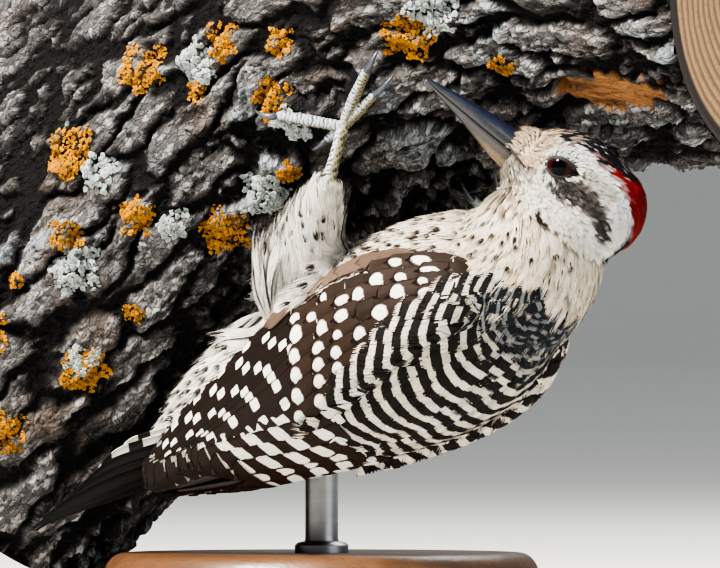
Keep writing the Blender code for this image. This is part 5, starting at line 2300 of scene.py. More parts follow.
@dataclass
class Eye:
    """One eye: a glossy ball behind a ring of bare beaded skin with a drawn-out corner."""

    side: str
    middle: tuple[float, float, float] = (5.05, 6.25, 3.55)
    radius: float = 3.5
    gaze: tuple[float, float, float] = (0.17, 0.97, 0.10)
    opening: tuple[float, float] = (2.78, 1.92)
    corner: tuple[float, float] = (0.80, 0.22)
    corner_width: float = 0.34
    beads: int = 26
    heading: float = -24.0

    def __post_init__(self) -> None:
        """Mirrors the eye to its side."""
        flip = np.array([1.0, SIGN[self.side], 1.0])
        self.centre = np.array(self.middle) * flip
        self.way = unit(np.array(self.gaze) * flip)
        a = math.radians(self.heading)
        ahead = np.array([math.cos(a), 0.0, math.sin(a)])
        self.fore = unit(ahead - self.way * (ahead @ self.way))
        self.up = np.cross(self.way, self.fore) * -SIGN[self.side]

    def edge(self, turn: np.ndarray) -> tuple[np.ndarray, np.ndarray]:
        """The opening's outline, ahead of and above its middle, by angle."""
        drawn = np.exp(-(((turn % (2 * np.pi)) - np.pi) / self.corner_width) ** 2)
        return (self.opening[0] * np.cos(turn) - self.corner[0] * drawn,
                self.opening[1] * np.sin(turn) - self.corner[1] * drawn)

    def share(self, h: np.ndarray) -> np.ndarray:
        """How far out of the opening places in the head's frame lie; 1 is its outline."""
        away = h - self.centre
        fore, up, out = away @ self.fore, away @ self.up, away @ self.way
        line_fore, line_up = self.edge(np.linspace(0, 2 * np.pi, 181)[:-1])
        turn = np.arctan2(line_up, line_fore)
        order = np.argsort(turn)
        reach = np.interp(np.arctan2(up, fore), turn[order],
                          np.hypot(line_fore, line_up)[order], period=2 * np.pi)
        return np.where(out > 0, np.hypot(fore, up) / reach, 9.0)

    def folded(self, h: np.ndarray) -> np.ndarray:
        """Skin places in the head's frame, sunk in the opening and raised as lids round it."""
        away = h - self.centre
        share, far = self.share(h), np.linalg.norm(away, axis=1)
        near = self.share(self.centre + unit(away) * self.radius)
        low = self.radius + 0.08 - 0.9 * step(1.2, 1.5, near)
        fold = low + 0.26 * np.exp(-((near - 1.17) / 0.12) ** 2)
        fold = np.minimum(fold, np.maximum(far + 0.25, low))
        wanted = np.where(near < 0.95, self.radius - 0.5, fold)
        held = np.where(near < 0.95, 1.0, step(1.75, 1.25, share))
        held = np.where(far < 8.0, held, 0.0)
        return self.centre + unit(away) * (far + (wanted - far) * held)[:, None]

    def ball(self, finish: bpy.types.Material) -> bpy.types.Object:
        """Makes the eyeball, with a slightly raised cornea."""
        n, m = 26, 40
        away = np.linspace(0, np.pi, n)
        turn = np.linspace(0, 2 * np.pi, m, endpoint=False)
        a, b = np.meshgrid(away, turn, indexing="ij")
        r = self.radius * (0.99 + 0.012 * np.exp(-((a / 0.9) ** 2)))
        rays = (np.cos(a)[..., None] * self.way + (np.sin(a) * np.cos(b))[..., None] * self.fore
                + (np.sin(a) * np.sin(b))[..., None] * self.up)
        beyond = self.share(self.centre + rays.reshape(-1, 3) * self.radius).reshape(a.shape)
        r = r * (1 - 0.24 * step(1.12, 1.45, beyond))
        points = self.centre + r[..., None] * rays
        faces = grid(n, m, True)
        faces = faces[:, ::-1] if SIGN[self.side] < 0 else faces
        uv = np.stack([0.5 + a * np.cos(b) / 7, 0.5 + a * np.sin(b) / 7], -1).reshape(-1, 2)
        batch = Batch()
        batch.add(to_world(points.reshape(-1, 3), HEAD), faces.tolist(),
                  gaze=a.reshape(-1), uv=uv)
        obj = outward(batch.build(f"eye_{self.side}_ball", finish))
        return keep(obj, "eye_brown", "eye_" + self.side)

    def lids(self, finish: bpy.types.Material) -> bpy.types.Object:
        """Makes the lids, a beaded ring that lies on the eyeball."""
        n, m = 96, 10
        turn = np.linspace(0, 2 * np.pi, n, endpoint=False)
        corner = np.exp(-((turn - np.pi) / self.corner_width) ** 2)
        fore, up = self.edge(turn)
        deep = np.sqrt(np.maximum(self.radius ** 2 - fore ** 2 - up ** 2, 0.6))
        line = (self.centre + deep[:, None] * self.way * 0.995 + fore[:, None] * self.fore
                + up[:, None] * self.up)
        out = unit(line - self.centre)
        ahead = unit(np.roll(line, -1, 0) - np.roll(line, 1, 0))
        aside = np.cross(ahead, out)
        thick = 0.21 + 0.030 * np.sin(turn * self.beads) + 0.05 * corner
        a = np.linspace(0, 2 * np.pi, m, endpoint=False)
        points = (line[:, None] + aside[:, None] * (thick[:, None] * 1.35 * np.cos(a))[..., None]
                  + out[:, None] * (thick[:, None] * 0.8 * np.sin(a))[..., None])
        quads = grid(n + 1, m, True) % (n * m)
        uv = np.stack([np.repeat(0.05 + 0.9 * turn / 6.3, m), np.tile(0.1 + 0.8 * a / 6.3, n)],
                      -1)
        ridge = np.repeat(0.5 + 0.5 * np.sin(turn * self.beads), m)
        batch = Batch()
        batch.add(to_world(points.reshape(-1, 3), HEAD), quads.tolist(), ridge=ridge, uv=uv)
        return keep(outward(batch.build(f"eye_{self.side}_lids", finish)), "eye_brown")


def outward(obj: bpy.types.Object) -> bpy.types.Object:
    """Turns a closed piece's faces outwards."""
    bm = bmesh.new()
    bm.from_mesh(obj.data)
    bmesh.ops.remove_doubles(bm, verts=bm.verts, dist=1e-8)
    bmesh.ops.recalc_face_normals(bm, faces=bm.faces)
    if bm.calc_volume(signed=True) < 0:
        bmesh.ops.reverse_faces(bm, faces=bm.faces)
    bm.to_mesh(obj.data)
    bm.free()
    return obj


@dataclass
class Branch:
    """The cut length of branch: furrowed bark, a peeled patch with a hole, sawn ends."""

    places: tuple = ((-129.0, -8.5, -45.6, 51.0), (-91.7, -7.0, -60.3, 51.5),
                     (-54.2, -4.5, -75.1, 51.5), (-19.0, -1.6, -85.6, 51.0),
                     (14.0, 0.6, -88.0, 50.0), (50.0, -3.4, -81.2, 47.5),
                     (92.9, -12.0, -62.5, 44.0))
    samples: int = 121
    lumps: tuple = ((2, 0.020, 0.6, 0.9), (3, 0.020, 2.1, -1.7), (5, 0.012, 0.3, 2.6))
    front: tuple[float, float] = (-34.0, 122.0)
    front_grain: float = 0.44
    back_grain: float = 0.95
    peel: tuple[float, float, float, float] = (216.0, 21.0, 13.0, 5.0)
    hole: tuple[float, float, float] = (203.0, 23.0, 2.2)

    def __post_init__(self) -> None:
        """Samples the branch's middle line."""
        rows = catmull(self.places, self.samples)
        self.middle = to_world(rows[:, :3], BIRD)
        step_by = np.linalg.norm(np.diff(self.middle, axis=0), axis=1)
        self.gone = np.concatenate([[0.0], np.cumsum(step_by)])
        self.ahead = unit(np.gradient(self.middle, axis=0))
        self.radius = rows[:, 3]
        self.length = float(self.gone[-1])

    def axes(self, along: np.ndarray) -> tuple[np.ndarray, ...]:
        """Middle, direction towards the bird, direction to its left, radius.

        Args:
            along: Distances from the lower end.

        Returns:
            Rows of each.
        """
        middle = np.stack([np.interp(along, self.gone, self.middle[:, k]) for k in range(3)], -1)
        ahead = unit(np.stack([np.interp(along, self.gone, self.ahead[:, k])
                               for k in range(3)], -1))
        left = np.array(BIRD)[:3, 1]
        left = unit(left - ahead * (ahead @ left)[..., None])
        return middle, np.cross(ahead, left), left, np.interp(along, self.gone, self.radius)

    def at(self, along: np.ndarray, turn: np.ndarray, lift: np.ndarray | float) -> np.ndarray:
        """Points over the bark.

        Args:
            along: Distances from the lower end.
            turn: Angles from the bird's side towards its left, in degrees.
            lift: Heights over the surface.

        Returns:
            World points.
        """
        along, turn = np.asarray(along, float), np.radians(np.asarray(turn, float))
        middle, near, left, radius = self.axes(along)
        swell = 1 + sum(size * np.sin(count * turn + phase + drift * along / 60)
                        for count, size, phase, drift in self.lumps)
        out = near * np.cos(turn)[..., None] + left * np.sin(turn)[..., None]
        return middle + out * (radius * swell + lift)[..., None]

    def over(self, point: np.ndarray, lift: float) -> np.ndarray:
        """A point moved straight in or out to a height over the bark."""
        along = self.gone[np.argmin(np.linalg.norm(self.middle - point, axis=1))]
        for _ in range(4):
            middle, near, left, _ = self.axes(along)
            along = along + (point - middle) @ np.cross(left, near)
        middle, near, left, _ = self.axes(along)
        away = point - middle
        return self.at(along, math.degrees(math.atan2(away @ left, away @ near)), lift)

    def sheet(self, name: str, turns: tuple[float, float], spans: tuple[float, float],
              grain: float, tree: bpy.types.NodeTree, finish: bpy.types.Material,
              toes: np.ndarray) -> bpy.types.Object:
        """Makes one sheet of bark.

        Args:
            name: Its name.
            turns: Its angles round the branch.
            spans: Its reach along the branch.
            grain: Distance between its points.
            tree: The tree that raises the bark.
            finish: Its material.
            toes: World points that the bark must carry.

        Returns:
            The sheet, with its relief.
        """
        wide = math.radians(turns[1] - turns[0]) * BARK_RADIUS
        rows = int((spans[1] - spans[0]) / grain) + 2
        columns = int(wide / grain) + 2
        along, turn = np.meshgrid(np.linspace(*spans, rows), np.linspace(*turns, columns),
                                  indexing="ij")
        points = self.at(along, turn, 0.0)
        middle, _, _, radius = self.axes(along)
        facing = unit(points - middle)
        a = np.radians(turn)
        bark_at = np.stack([radius * np.cos(a), radius * np.sin(a), along], -1) / 10
        far = np.hypot((along - self.peel[0]) / self.peel[2], (turn - self.peel[1])
                       * BARK_DEGREE / self.peel[3])
        wave = 0.22 * np.sin(turn * 1.1 + along * 0.5) + 0.16 * np.sin(along * 1.7)
        peeled = step(1.08, 0.86, far + wave)
        hollow = np.hypot(along - self.hole[0], (turn - self.hole[1]) * BARK_DEGREE)
        hole = step(self.hole[2] * 1.3, self.hole[2] * 0.6, hollow)
        search = points_tree(toes)
        grip = np.zeros(points.shape[:2])
        near = np.linalg.norm(points - toes.mean(0), axis=-1) < 60
        for i, j in zip(*np.nonzero(near)):
            grip[i, j] = search.find(points[i, j])[2]
        grip = np.where(near, step(5.0, 2.2, grip), 0.0)
        uv = np.stack([(turn - turns[0]) / (turns[1] - turns[0]),
                       (along - spans[0]) / (spans[1] - spans[0])], -1) * 0.98 + 0.01
        batch = Batch()
        batch.add(points.reshape(-1, 3), grid(rows, columns)[:, ::-1],
                  facing=facing.reshape(-1, 3), bark_at=bark_at.reshape(-1, 3),
                  peeled=peeled.ravel(), hole=hole.ravel(), grip=grip.ravel(),
                  uv=uv.reshape(-1, 2))
        host = batch.build(name + "_flat")
        grow(host, tree, Finish=finish)
        return settled(host, name)

    def bark_tree(self) -> bpy.types.NodeTree:
        """The tree that raises plates, flakes and furrows from the smooth sheet.

        Returns:
            The tree.
        """
        wire, given, result = new_group(
            "RaiseBark", "GeometryNodeTree",
            (("Sheet", "Geometry"), ("Furrow Depth", "Float", 3.3 * MM),
             ("Flake Step", "Float", 1.15 * MM), ("Grit", "Float", 0.45 * MM),
             ("Finish", "Material")), (("Bark", "Geometry"),))
        sheet, furrow, flake_step, grit, finish = (given.outputs[k] for k in range(5))
        at = wire.stored("bark_at", "FLOAT_VECTOR")
        warp = wire.vector("SUBTRACT", wire.noise(at, 0.75, 3.0, out=1), (0.5, 0.5, 0.5))
        bent = wire.vector("ADD", at, wire.vector("SCALE", warp, scale=1.2))
        long = wire.vector("MULTIPLY", bent, (1.0, 1.0, 0.26))
        edge = wire.cells(long, 1.25, "DISTANCE_TO_EDGE")
        plates = wire.smooth(edge, 0.015, 0.20)
        broad = wire.smooth(wire.noise(at, 0.55, 2.0), 0.25, 0.75, 0.45, 1.0)
        rough = wire.vector("ADD", bent, wire.vector("SCALE", wire.vector(
            "SUBTRACT", wire.noise(at, 3.0, 2.0, out=1), (0.5, 0.5, 0.5)), scale=0.34))
        short = wire.vector("MULTIPLY", rough, (1.0, 1.0, 0.24))
        flake = wire.part(wire.cells(short, 3.0, out="Color"), 0)
        rim = wire.smooth(wire.cells(short, 3.0, "DISTANCE_TO_EDGE"), 0.0, 0.10)
        layer = wire.part(wire.cells(wire.vector("MULTIPLY", rough, (1.0, 1.0, 0.30)), 6.8,
                                     out="Color"), 1)
        fine = wire.noise(wire.vector("MULTIPLY", bent, (1.0, 1.0, 0.42)), 12.0, 4.0, 0.7)
        raised = wire.times(plates, broad)
        steps = wire.plus(wire.times(flake, rim), wire.times(layer, 0.45))
        height = wire.minus(wire.times(raised, furrow), furrow)
        height = wire.plus(height, wire.times(wire.minus(steps, 0.35), flake_step))
        height = wire.plus(height, wire.times(wire.minus(fine, 0.5), wire.times(grit, 2.0)))
        height = wire.math("MINIMUM", height, 0.7 * MM)
        grip = wire.stored("grip")
        firm = wire.math("MAXIMUM", height, 0.25 * MM)
        height = wire.add("ShaderNodeMix", {"Factor": grip, "A": height, "B": firm},
                          out="Result", data_type="FLOAT")
        peeled = wire.stored("peeled")
        grained = wire.math("MULTIPLY_ADD", wire.noise(wire.vector(
            "MULTIPLY", at, (4.0, 4.0, 0.7)), 3.0, 3.0), 0.9 * MM, -2.3 * MM)
        height = wire.add("ShaderNodeMix", {"Factor": peeled, "A": height, "B": grained},
                          out="Result", data_type="FLOAT")
        height = wire.minus(height, wire.times(wire.stored("hole"), 6.5 * MM))
        offset = wire.vector("SCALE", wire.stored("facing", "FLOAT_VECTOR"), scale=height)
        moved = wire.add("GeometryNodeSetPosition", {"Geometry": sheet, "Offset": offset})
        # Painted shade: how raised each point is, 0 in the furrows and in the hole, where the
        # bark's colour turns near black.
        shade = wire.times(wire.plus(wire.times(raised, 0.75),
                                     wire.times(steps, 0.25)),
                           wire.minus(1.0, wire.stored("hole")))
        marked = wire.add("GeometryNodeStoreNamedAttribute",
                          {"Geometry": moved, "Name": "raised", "Value": shade},
                          data_type="FLOAT", domain="POINT")
        tone = wire.times(wire.plus(wire.times(flake, 0.7), wire.times(layer, 0.4)), raised)
        toned = wire.add("GeometryNodeStoreNamedAttribute",
                         {"Geometry": marked, "Name": "flake", "Value": tone},
                         data_type="FLOAT", domain="POINT")
        smooth = wire.add("GeometryNodeSetShadeSmooth", {0: toned})
        real = wire.add("GeometryNodeRealizeInstances", {"Geometry": smooth})
        wire.feed(result.inputs[0], wire.add("GeometryNodeSetMaterial",
                                             {"Geometry": real, "Material": finish}))
        return wire.tree

    def build(self, finish: bpy.types.Material, sawn: bpy.types.Material, toes: np.ndarray
              ) -> list[bpy.types.Object]:
        """Makes the bark in three sheets, and the sawn ends.

        Args:
            finish: The bark's material.
            sawn: The ends' material.
            toes: World points that the bark must carry.

        Returns:
            The pieces.
        """
        tree = self.bark_tree()
        half = self.length / 2
        low, high = self.front
        made = [self.sheet("bark_front_low", (low, high), (0, half), self.front_grain, tree,
                           finish, toes),
                self.sheet("bark_front_high", (low, high), (half, self.length),
                           self.front_grain, tree, finish, toes),
                self.sheet("bark_back", (high, low + 360), (0, self.length), self.back_grain,
                           tree, finish, toes)]
        for obj in made:
            keep(obj, "bark", "perch")
        keep(self.ends(sawn), "bark", "perch")
        return made

    def ends(self, finish: bpy.types.Material) -> bpy.types.Object:
        """Makes the two sawn ends, dished a little under the bark's rim."""
        batch = Batch()
        rings, sides = 14, 96
        for number, (along, sign) in enumerate(((0.0, 1), (self.length, -1))):
            turn = np.linspace(0, 360, sides, endpoint=False)
            rim = self.at(np.full(sides, along), turn, np.full(sides, -0.9))
            middle, near, left, _ = self.axes(np.array(along))
            ahead = np.cross(left, near) * -1
            share = np.linspace(0.02, 1, rings)[:, None, None]
            points = middle + (rim - middle) * share
            points = points + ahead * sign * (0.9 - 0.8 * share ** 4)
            faces = grid(rings, sides, True)
            faces = faces if sign > 0 else faces[:, ::-1]
            core = list(range(sides))
            faces = faces.tolist() + [core[::-1] if sign > 0 else core]
            ring = np.repeat(np.linspace(0, 1, rings), sides)
            a = np.radians(np.tile(turn, rings))
            uv = np.stack([0.25 + 0.5 * number + 0.24 * ring * np.cos(a),
                           0.5 + 0.24 * ring * np.sin(a)], -1)
            batch.add(points.reshape(-1, 3), faces, ring=ring, uv=uv)
        return batch.build("branch_sawn_ends", finish)


@dataclass(frozen=True)
class SawnFinish:
    """Sawn end grain: growth rings, rays and a dark rim of bark."""

    name: str = "sawn_wood"

    def build(self, mottle: bpy.types.NodeTree) -> bpy.types.Material:
        """Makes the material from the mottling group."""
        made, wire, shader = new_material(self.name, 0.75)
        grain = use(wire, mottle, Place=wire.place(), Broad_Scale=60.0, Fine_Scale=1200.0)
        ring = wire.fact("ring", "Fac")
        wavy = wire.math("MULTIPLY_ADD", grain.outputs["Broad"], 0.05, ring)
        rings = wire.math("SINE", wire.times(wavy, 130.0))
        wood = wire.colour(wire.smooth(rings, -0.4, 1.0), (0.40, 0.25, 0.13),
                           (0.22, 0.12, 0.058))
        aged = wire.colour(wire.smooth(grain.outputs["Fine"], 0.45, 0.7, 0.0, 0.5), wood,
                           (0.16, 0.11, 0.075))
        wire.feed(shader.inputs["Base Color"],
                  wire.colour(wire.smooth(ring, 0.93, 0.95), aged, (0.035, 0.026, 0.022)))
        relief(wire, shader, rings, 0.12)
        return made


@dataclass
class Leg:
    """A foot on the bark: scaled shank and toes in one skin, and four hooked claws."""

    side: str
    branch: Branch
    heel_at: tuple[float, float, float] = (4.6, 29.5, -26.4)
    shank_radii: tuple = (1.7, 1.25, 1.2, 1.35)
    feet: dict = field(default_factory=lambda: {"left": (142.0, 26.5),
                                                "right": (144.8, -24.0)})
    toe_lift: float = 1.75
    taper: tuple = (1.0, 0.95, 1.0, 0.86, 0.8)
    hook: tuple = ((0.0, 1.7, 0.74), (0.25, 2.4, 0.62), (0.6, 2.2, 0.42), (0.88, 1.35, 0.24),
                   (1.0, 0.62, 0.10))
    toes: dict = field(default_factory=lambda: {
        "first": (186.0, 5.4, 1.00, 4.2), "second": (17.0, 11.2, 1.10, 5.4),
        "third": (40.0, 16.2, 1.20, 5.2), "fourth": (131.0, 16.0, 1.20, 5.4)})
    turn: dict = field(default_factory=lambda: {"left": 0.0, "right": -85.0})
    rolls: dict = field(default_factory=lambda: {
        "shank": 2.0, "first": -1.0, "second": 1.2, "third": 1.2, "fourth": -1.35})
    scute: float = 0.82
    voxel: float = 0.15

    def reach(self, heading: float, gone: float, lift: float) -> np.ndarray:
        """The place on the bark that a toe reaches after some millimetres."""
        along, turn = self.feet[self.side]
        _, near, left, _ = self.branch.axes(np.array(along))
        a = math.radians(heading + self.turn[self.side])
        way = np.cross(left, near) * math.cos(a) + left * (SIGN[self.side] * math.sin(a))
        start = self.branch.at(np.array(along), np.array(turn), np.array(lift))
        return self.branch.over(start + way * gone, lift)

    def tube(self, batch: Batch, points: np.ndarray, radii: np.ndarray, tops: np.ndarray,
             scute: float, sides: int = 16, space: float = 0.12, roll: float = 0.0,
             **facts: object) -> None:
        """Adds a closed limb with bands of scales over its top.

        Args:
            batch: Where it goes.
            points: Places along it.
            radii: Its radius at each.
            tops: Which way its top looks at each.
            scute: Length of a scale, or 0 for a smooth limb.
            sides: Points round it.
            space: Distance between its rings.
            roll: How far its scaled side is turned about it.
            facts: Attributes the same all over it.
        """
        rows = np.concatenate([points, radii[:, None], tops], 1)
        length = np.linalg.norm(np.diff(points, axis=0), axis=1).sum()
        table = catmull(rows, max(12, int(length / space)))
        line, r, top = table[:, :3], table[:, 3], unit(table[:, 4:7])
        gone = np.concatenate([[0], np.cumsum(np.linalg.norm(np.diff(line, axis=0), axis=1))])
        ahead = unit(np.gradient(line, axis=0))
        side = unit(np.cross(top, ahead))
        top = np.cross(ahead, side)
        ends = np.minimum(gone, gone[-1] - gone)
        r = r * np.sqrt(np.clip(ends / r * 1.4, 0.02, 1))
        a = np.linspace(0, 2 * np.pi, sides, endpoint=False)
        ridge = np.full((len(line), sides), 0.8)
        over = step(-0.15, 0.45, np.sin(a + 0.25 + roll))
        if scute:
            uneven = 0.16 * np.sin(a * 3 + gone[:, None] * 2.1) + 0.10 * np.sin(
                gone[:, None] * 5.3)
            phase = (gone[:, None] / scute + uneven) % 1.0
            band = np.clip(np.minimum(phase / 0.22, (1 - phase) / 0.34), 0, 1)
            stray = 1.6 * np.sin(gone[:, None] * 1.9 + 2.0 * np.sin(a))
            knob = np.sin(gone[:, None] / scute * 2.0 * np.pi + 1.5 * np.sin(a * 2) + stray)
            knob = 0.5 + 0.5 * knob * np.sin(a * 4 + gone[:, None] * 1.3 + stray)
            ridge = band * over + (1 - over) * (0.15 + 0.75 * knob)
            r = r[:, None] * (0.90 + 0.17 * band * over + 0.26 * (1 - over) * knob)
        else:
            r = r[:, None] * np.ones(sides)
        points = line[:, None] + side[:, None] * (r * np.cos(a))[..., None] \
            + top[:, None] * (r * np.sin(a))[..., None]
        n = len(line)
        faces = tube_faces(n, sides)
        flat = points.reshape(-1, 3)
        way = np.stack([np.repeat(gone, sides) * 0.02, flat[:, 0], flat[:, 1]], -1)
        batch.add(flat, faces, ridge=ridge.ravel(), horn=way, under=np.tile(1 - over, n),
                  uv=np.stack([np.tile(a / 6.4, n), np.repeat(gone / 20, sides)], -1), **facts)

    def lines(self) -> dict[str, tuple[np.ndarray, np.ndarray, np.ndarray]]:
        """Places, radii and tops of the shank and each toe."""
        heel = to_world(np.array(self.heel_at) * np.array([1, SIGN[self.side], 1]), BIRD)
        along, turn = self.feet[self.side]
        ball = self.branch.at(np.array(along), np.array(turn), np.array(self.toe_lift + 0.6))
        middle, *_ = self.branch.axes(np.array(along))
        out = unit(ball - middle)
        up = np.array(BIRD)[:3, 0]
        start = heel + (heel - ball) * 0.12
        shank = np.stack([start, heel * 0.7 + ball * 0.3, heel * 0.3 + ball * 0.7, ball])
        made = {"shank": (shank, np.array(self.shank_radii), np.stack([up] * 4))}
        for name, (heading, length, radius, _) in self.toes.items():
            line = np.stack([self.reach(heading, length * k / 4, self.toe_lift)
                             for k in range(5)])
            made[name] = (line, radius * np.array(self.taper), np.stack([out] * 5))
        return made

    def foot(self, finish: bpy.types.Material) -> bpy.types.Object:
        """Makes the scaled foot, its limbs joined in one skin."""
        batch = Batch()
        for name, (line, radii, tops) in self.lines().items():
            self.tube(batch, line, radii, tops, self.scute * (2.1 if name == "shank" else 1),
                      roll=self.rolls[name] * SIGN[self.side])
        obj = batch.build("foot_raw")
        values = {}
        for key in ("ridge", "under"):
            values[key] = np.zeros(len(obj.data.vertices), np.float32)
            obj.data.attributes[key].data.foreach_get("value", values[key])
        search = points_tree(coords(obj.data))
        remesh = obj.modifiers.new("join", "REMESH")
        remesh.mode = "VOXEL"
        remesh.voxel_size = self.voxel * MM
        obj = settled(obj, f"foot_{self.side}_scaled")
        places = coords(obj.data)
        nearest = np.array([search.find(p)[1] for p in places])
        for key, rows in values.items():
            write(obj.data, key, rows[nearest])
        dress(obj.data, finish)
        return keep(obj, "foot_grey", "foot_" + self.side)

    def claws(self, finish: bpy.types.Material) -> bpy.types.Object:
        """Makes the four claws of a foot."""
        batch = Batch()
        nodes = []
        for name, (heading, length, radius, claw_length) in self.toes.items():
            line = np.stack([self.reach(heading, length - 0.5 + (claw_length + 0.5) * far, lift)
                             for far, lift, _ in self.hook])
            radii = np.array([radius * thick for _, _, thick in self.hook])
            middle, *_ = self.branch.axes(np.array(self.feet[self.side][0]))
            out = np.stack([unit(line[0] - middle)] * len(line))
            self.tube(batch, line, radii, out, 0.0, 14, 0.18,
                      tint=np.array([[0.048, 0.056, 0.074]]))
            nodes.append(f"claw_{name}_{self.side}")
        return keep(batch.build(f"claws_{self.side}_horn", finish), "claw_dark", *nodes)


@dataclass
class Lichens:
    """Crusts of lichen on the bark: orange cushions and grey-white leafy rosettes."""

    branch: Branch
    stretch: tuple[float, float] = (12.0, 195.0)
    foot_at: tuple[float, float] = (142.0, 27.0)
    foot_room: float = 13.0

    def spread(self, count: int, band: tuple[float, float], radii: tuple[float, float],
               seed: int) -> list[tuple[float, float, float]]:
        """Places clusters apart from each other, largest first, and clear of the near foot.

        Args:
            count: How many clusters.
            band: Angles round the branch between which they grow.
            radii: Largest and smallest radius.
            seed: Seed of the draws.

        Returns:
            Each cluster's distance along the branch, angle round it and radius.
        """
        rng = np.random.default_rng(seed)
        across = np.array([1.0, BARK_DEGREE])
        taken = np.array([self.foot_at])
        for _ in range(count):
            options = np.stack([rng.uniform(*self.stretch, 5), rng.uniform(*band, 5)], -1)
            gaps = np.linalg.norm((options[:, None] - taken[None]) * across, axis=2)
            gaps = np.minimum(gaps[:, 1:].min(axis=1, initial=40.0),
                              np.where(gaps[:, 0] < self.foot_room, 0.0, 40.0))
            taken = np.vstack([taken, options[np.argmax(gaps)]])
        sizes = np.linspace(*radii, count)
        return [(*place, size) for place, size in zip(taken[1:].tolist(), sizes.tolist())]

    def lobe(self, name: str, cup: float) -> bpy.types.Object:
        """Makes one lobe: a little lobed disc, cupped or flat."""
        sides = 8
        rng = np.random.default_rng(len(name))
        points, lobes = [(0.0, 0.0, 0.10)], [0.3]
        for ring, (r, z) in enumerate(((0.30, 0.22), (0.50, 0.12 + cup))):
            for k in range(sides):
                a = 2 * math.pi * k / sides
                wave = 1 + (0.22 * math.sin(3 * a + 1) + rng.uniform(-0.1, 0.1)) * ring
                points.append((r * wave * math.cos(a), r * wave * math.sin(a), z))
                lobes.append(0.5 + 0.5 * ring)
        points.append((0.0, 0.0, -0.25))
        lobes.append(0.0)
        faces = [[0, 1 + k, 1 + (k + 1) % sides] for k in range(sides)]
        faces += [[1 + k, 9 + k, 9 + (k + 1) % sides, 1 + (k + 1) % sides]
                  for k in range(sides)]
        faces += [[17, 9 + (k + 1) % sides, 9 + k] for k in range(sides)]
        batch = Batch()
        batch.add(np.array(points) / MM, faces, lobe=np.array(lobes))
        return batch.build(name)

    def tree(self) -> bpy.types.NodeTree:
        """The tree that strews lobes over points."""
        wire, given, result = new_group(
            "StrewLobes", "GeometryNodeTree",
            (("Points", "Geometry"), ("Lobe", "Object"), ("Patch", "Float", 0.01),
             ("Tilt", "Float", 0.5), ("Seed", "Int", SEED), ("Finish", "Material")),
            (("Lichen", "Geometry"),))
        points, lobe, patch, tilt, seed, finish = (given.outputs[k] for k in range(6))
        shape = wire.add("GeometryNodeObjectInfo", {"Object": lobe}, out="Geometry")
        low = wire.vector("SCALE", (-1.0, -1.0, -6.0), scale=tilt)
        high = wire.vector("SCALE", (1.0, 1.0, 6.0), scale=tilt)
        spin = wire.add("FunctionNodeRandomValue", {"Min": low, "Max": high, "Seed": seed},
                        out="Value", data_type="FLOAT_VECTOR")
        turn = wire.add("FunctionNodeAlignRotationToVector",
                        {"Vector": wire.stored("out", "FLOAT_VECTOR")}, axis="Z")
        spun = wire.add("FunctionNodeRotateRotation",
                        {0: turn, 1: wire.add("FunctionNodeEulerToRotation", {0: spin})},
                        rotation_space="LOCAL")
        laid = wire.add("GeometryNodeInstanceOnPoints",
                        {"Points": points, "Instance": shape, "Rotation": spun,
                         "Scale": wire.stored("size", "FLOAT_VECTOR")})
        real = wire.add("GeometryNodeRealizeInstances", {"Geometry": laid})
        spot = wire.vector("ADD", wire.stored("root_uv", "FLOAT_VECTOR"),
                           wire.vector("SCALE", wire.join(wire.stored("lobe"), 0.0, 0.0),
                                       scale=patch))
        wire.feed(result.inputs[0], mapped(wire, real, spot, finish))
        return wire.tree

    def strew(self, name: str, clusters: Sequence[tuple[float, float, float]],
              sheets: Sequence[BVHTree], tree: bpy.types.NodeTree, crowd: float, size: float,
              cup: float, finish: bpy.types.Material) -> bpy.types.Object:
        """Makes all the crusts of one kind.

        Args:
            name: Name of the piece.
            clusters: Its clusters.
            sheets: Search trees of the bark.
            tree: The tree that strews.
            crowd: Lobes in each square millimetre.
            size: Width of a lobe.
            cup: How cupped a lobe is.
            finish: The material.

        Returns:
            The piece.
        """
        rng = np.random.default_rng(SEED + len(name))
        rows = []
        for along, turn, radius in clusters:
            for _ in range(int(crowd * math.pi * radius ** 2)):
                a, r = rng.uniform(0, 2 * math.pi), radius * math.sqrt(rng.random()) * 1.1
                r *= 1 + 0.35 * math.sin(3 * a + along) * math.cos(2 * a)
                at = along + r * math.cos(a) * 1.15
                round_by = turn + math.degrees(r * math.sin(a) / BARK_RADIUS)
                start = self.branch.at(np.array(at), np.array(round_by), np.array(9.0))
                middle, *_ = self.branch.axes(np.array(at))
                way = unit(middle - start)
                for sheet in sheets:
                    hit, facing, _, _ = sheet.ray_cast(Vector(start), Vector(way), 20.0)
                    if hit is not None:
                        heap = 0.9 * (1 - (r / radius) ** 2) * rng.random()
                        place = np.array(hit) - way * (0.1 + max(0.0, heap) * size)
                        out = unit(np.array(facing) * 0.6 - way)
                        grown = size * rng.uniform(0.65, 1.35)
                        rows.append((*place, *out, grown, at, round_by))
                        break
        table = np.array(rows)
        mesh = bpy.data.meshes.new(name)
        mesh.from_pydata((table[:, :3] * MM).tolist(), [], [])
        write(mesh, "out", table[:, 3:6])
        write(mesh, "size", np.repeat(table[:, 6:7] * MM, 3, 1))
        write(mesh, "root_uv", np.stack([table[:, 7] / 250, (table[:, 8] + 40) / 400,
                                         np.zeros(len(table))], -1))
        host = linked(name + "_roots", mesh)
        shape = self.lobe(name + "_lobe", cup)
        grow(host, tree, Lobe=shape, Tilt=0.5, Finish=finish)
        return keep(settled(host, name, shape), "bark")


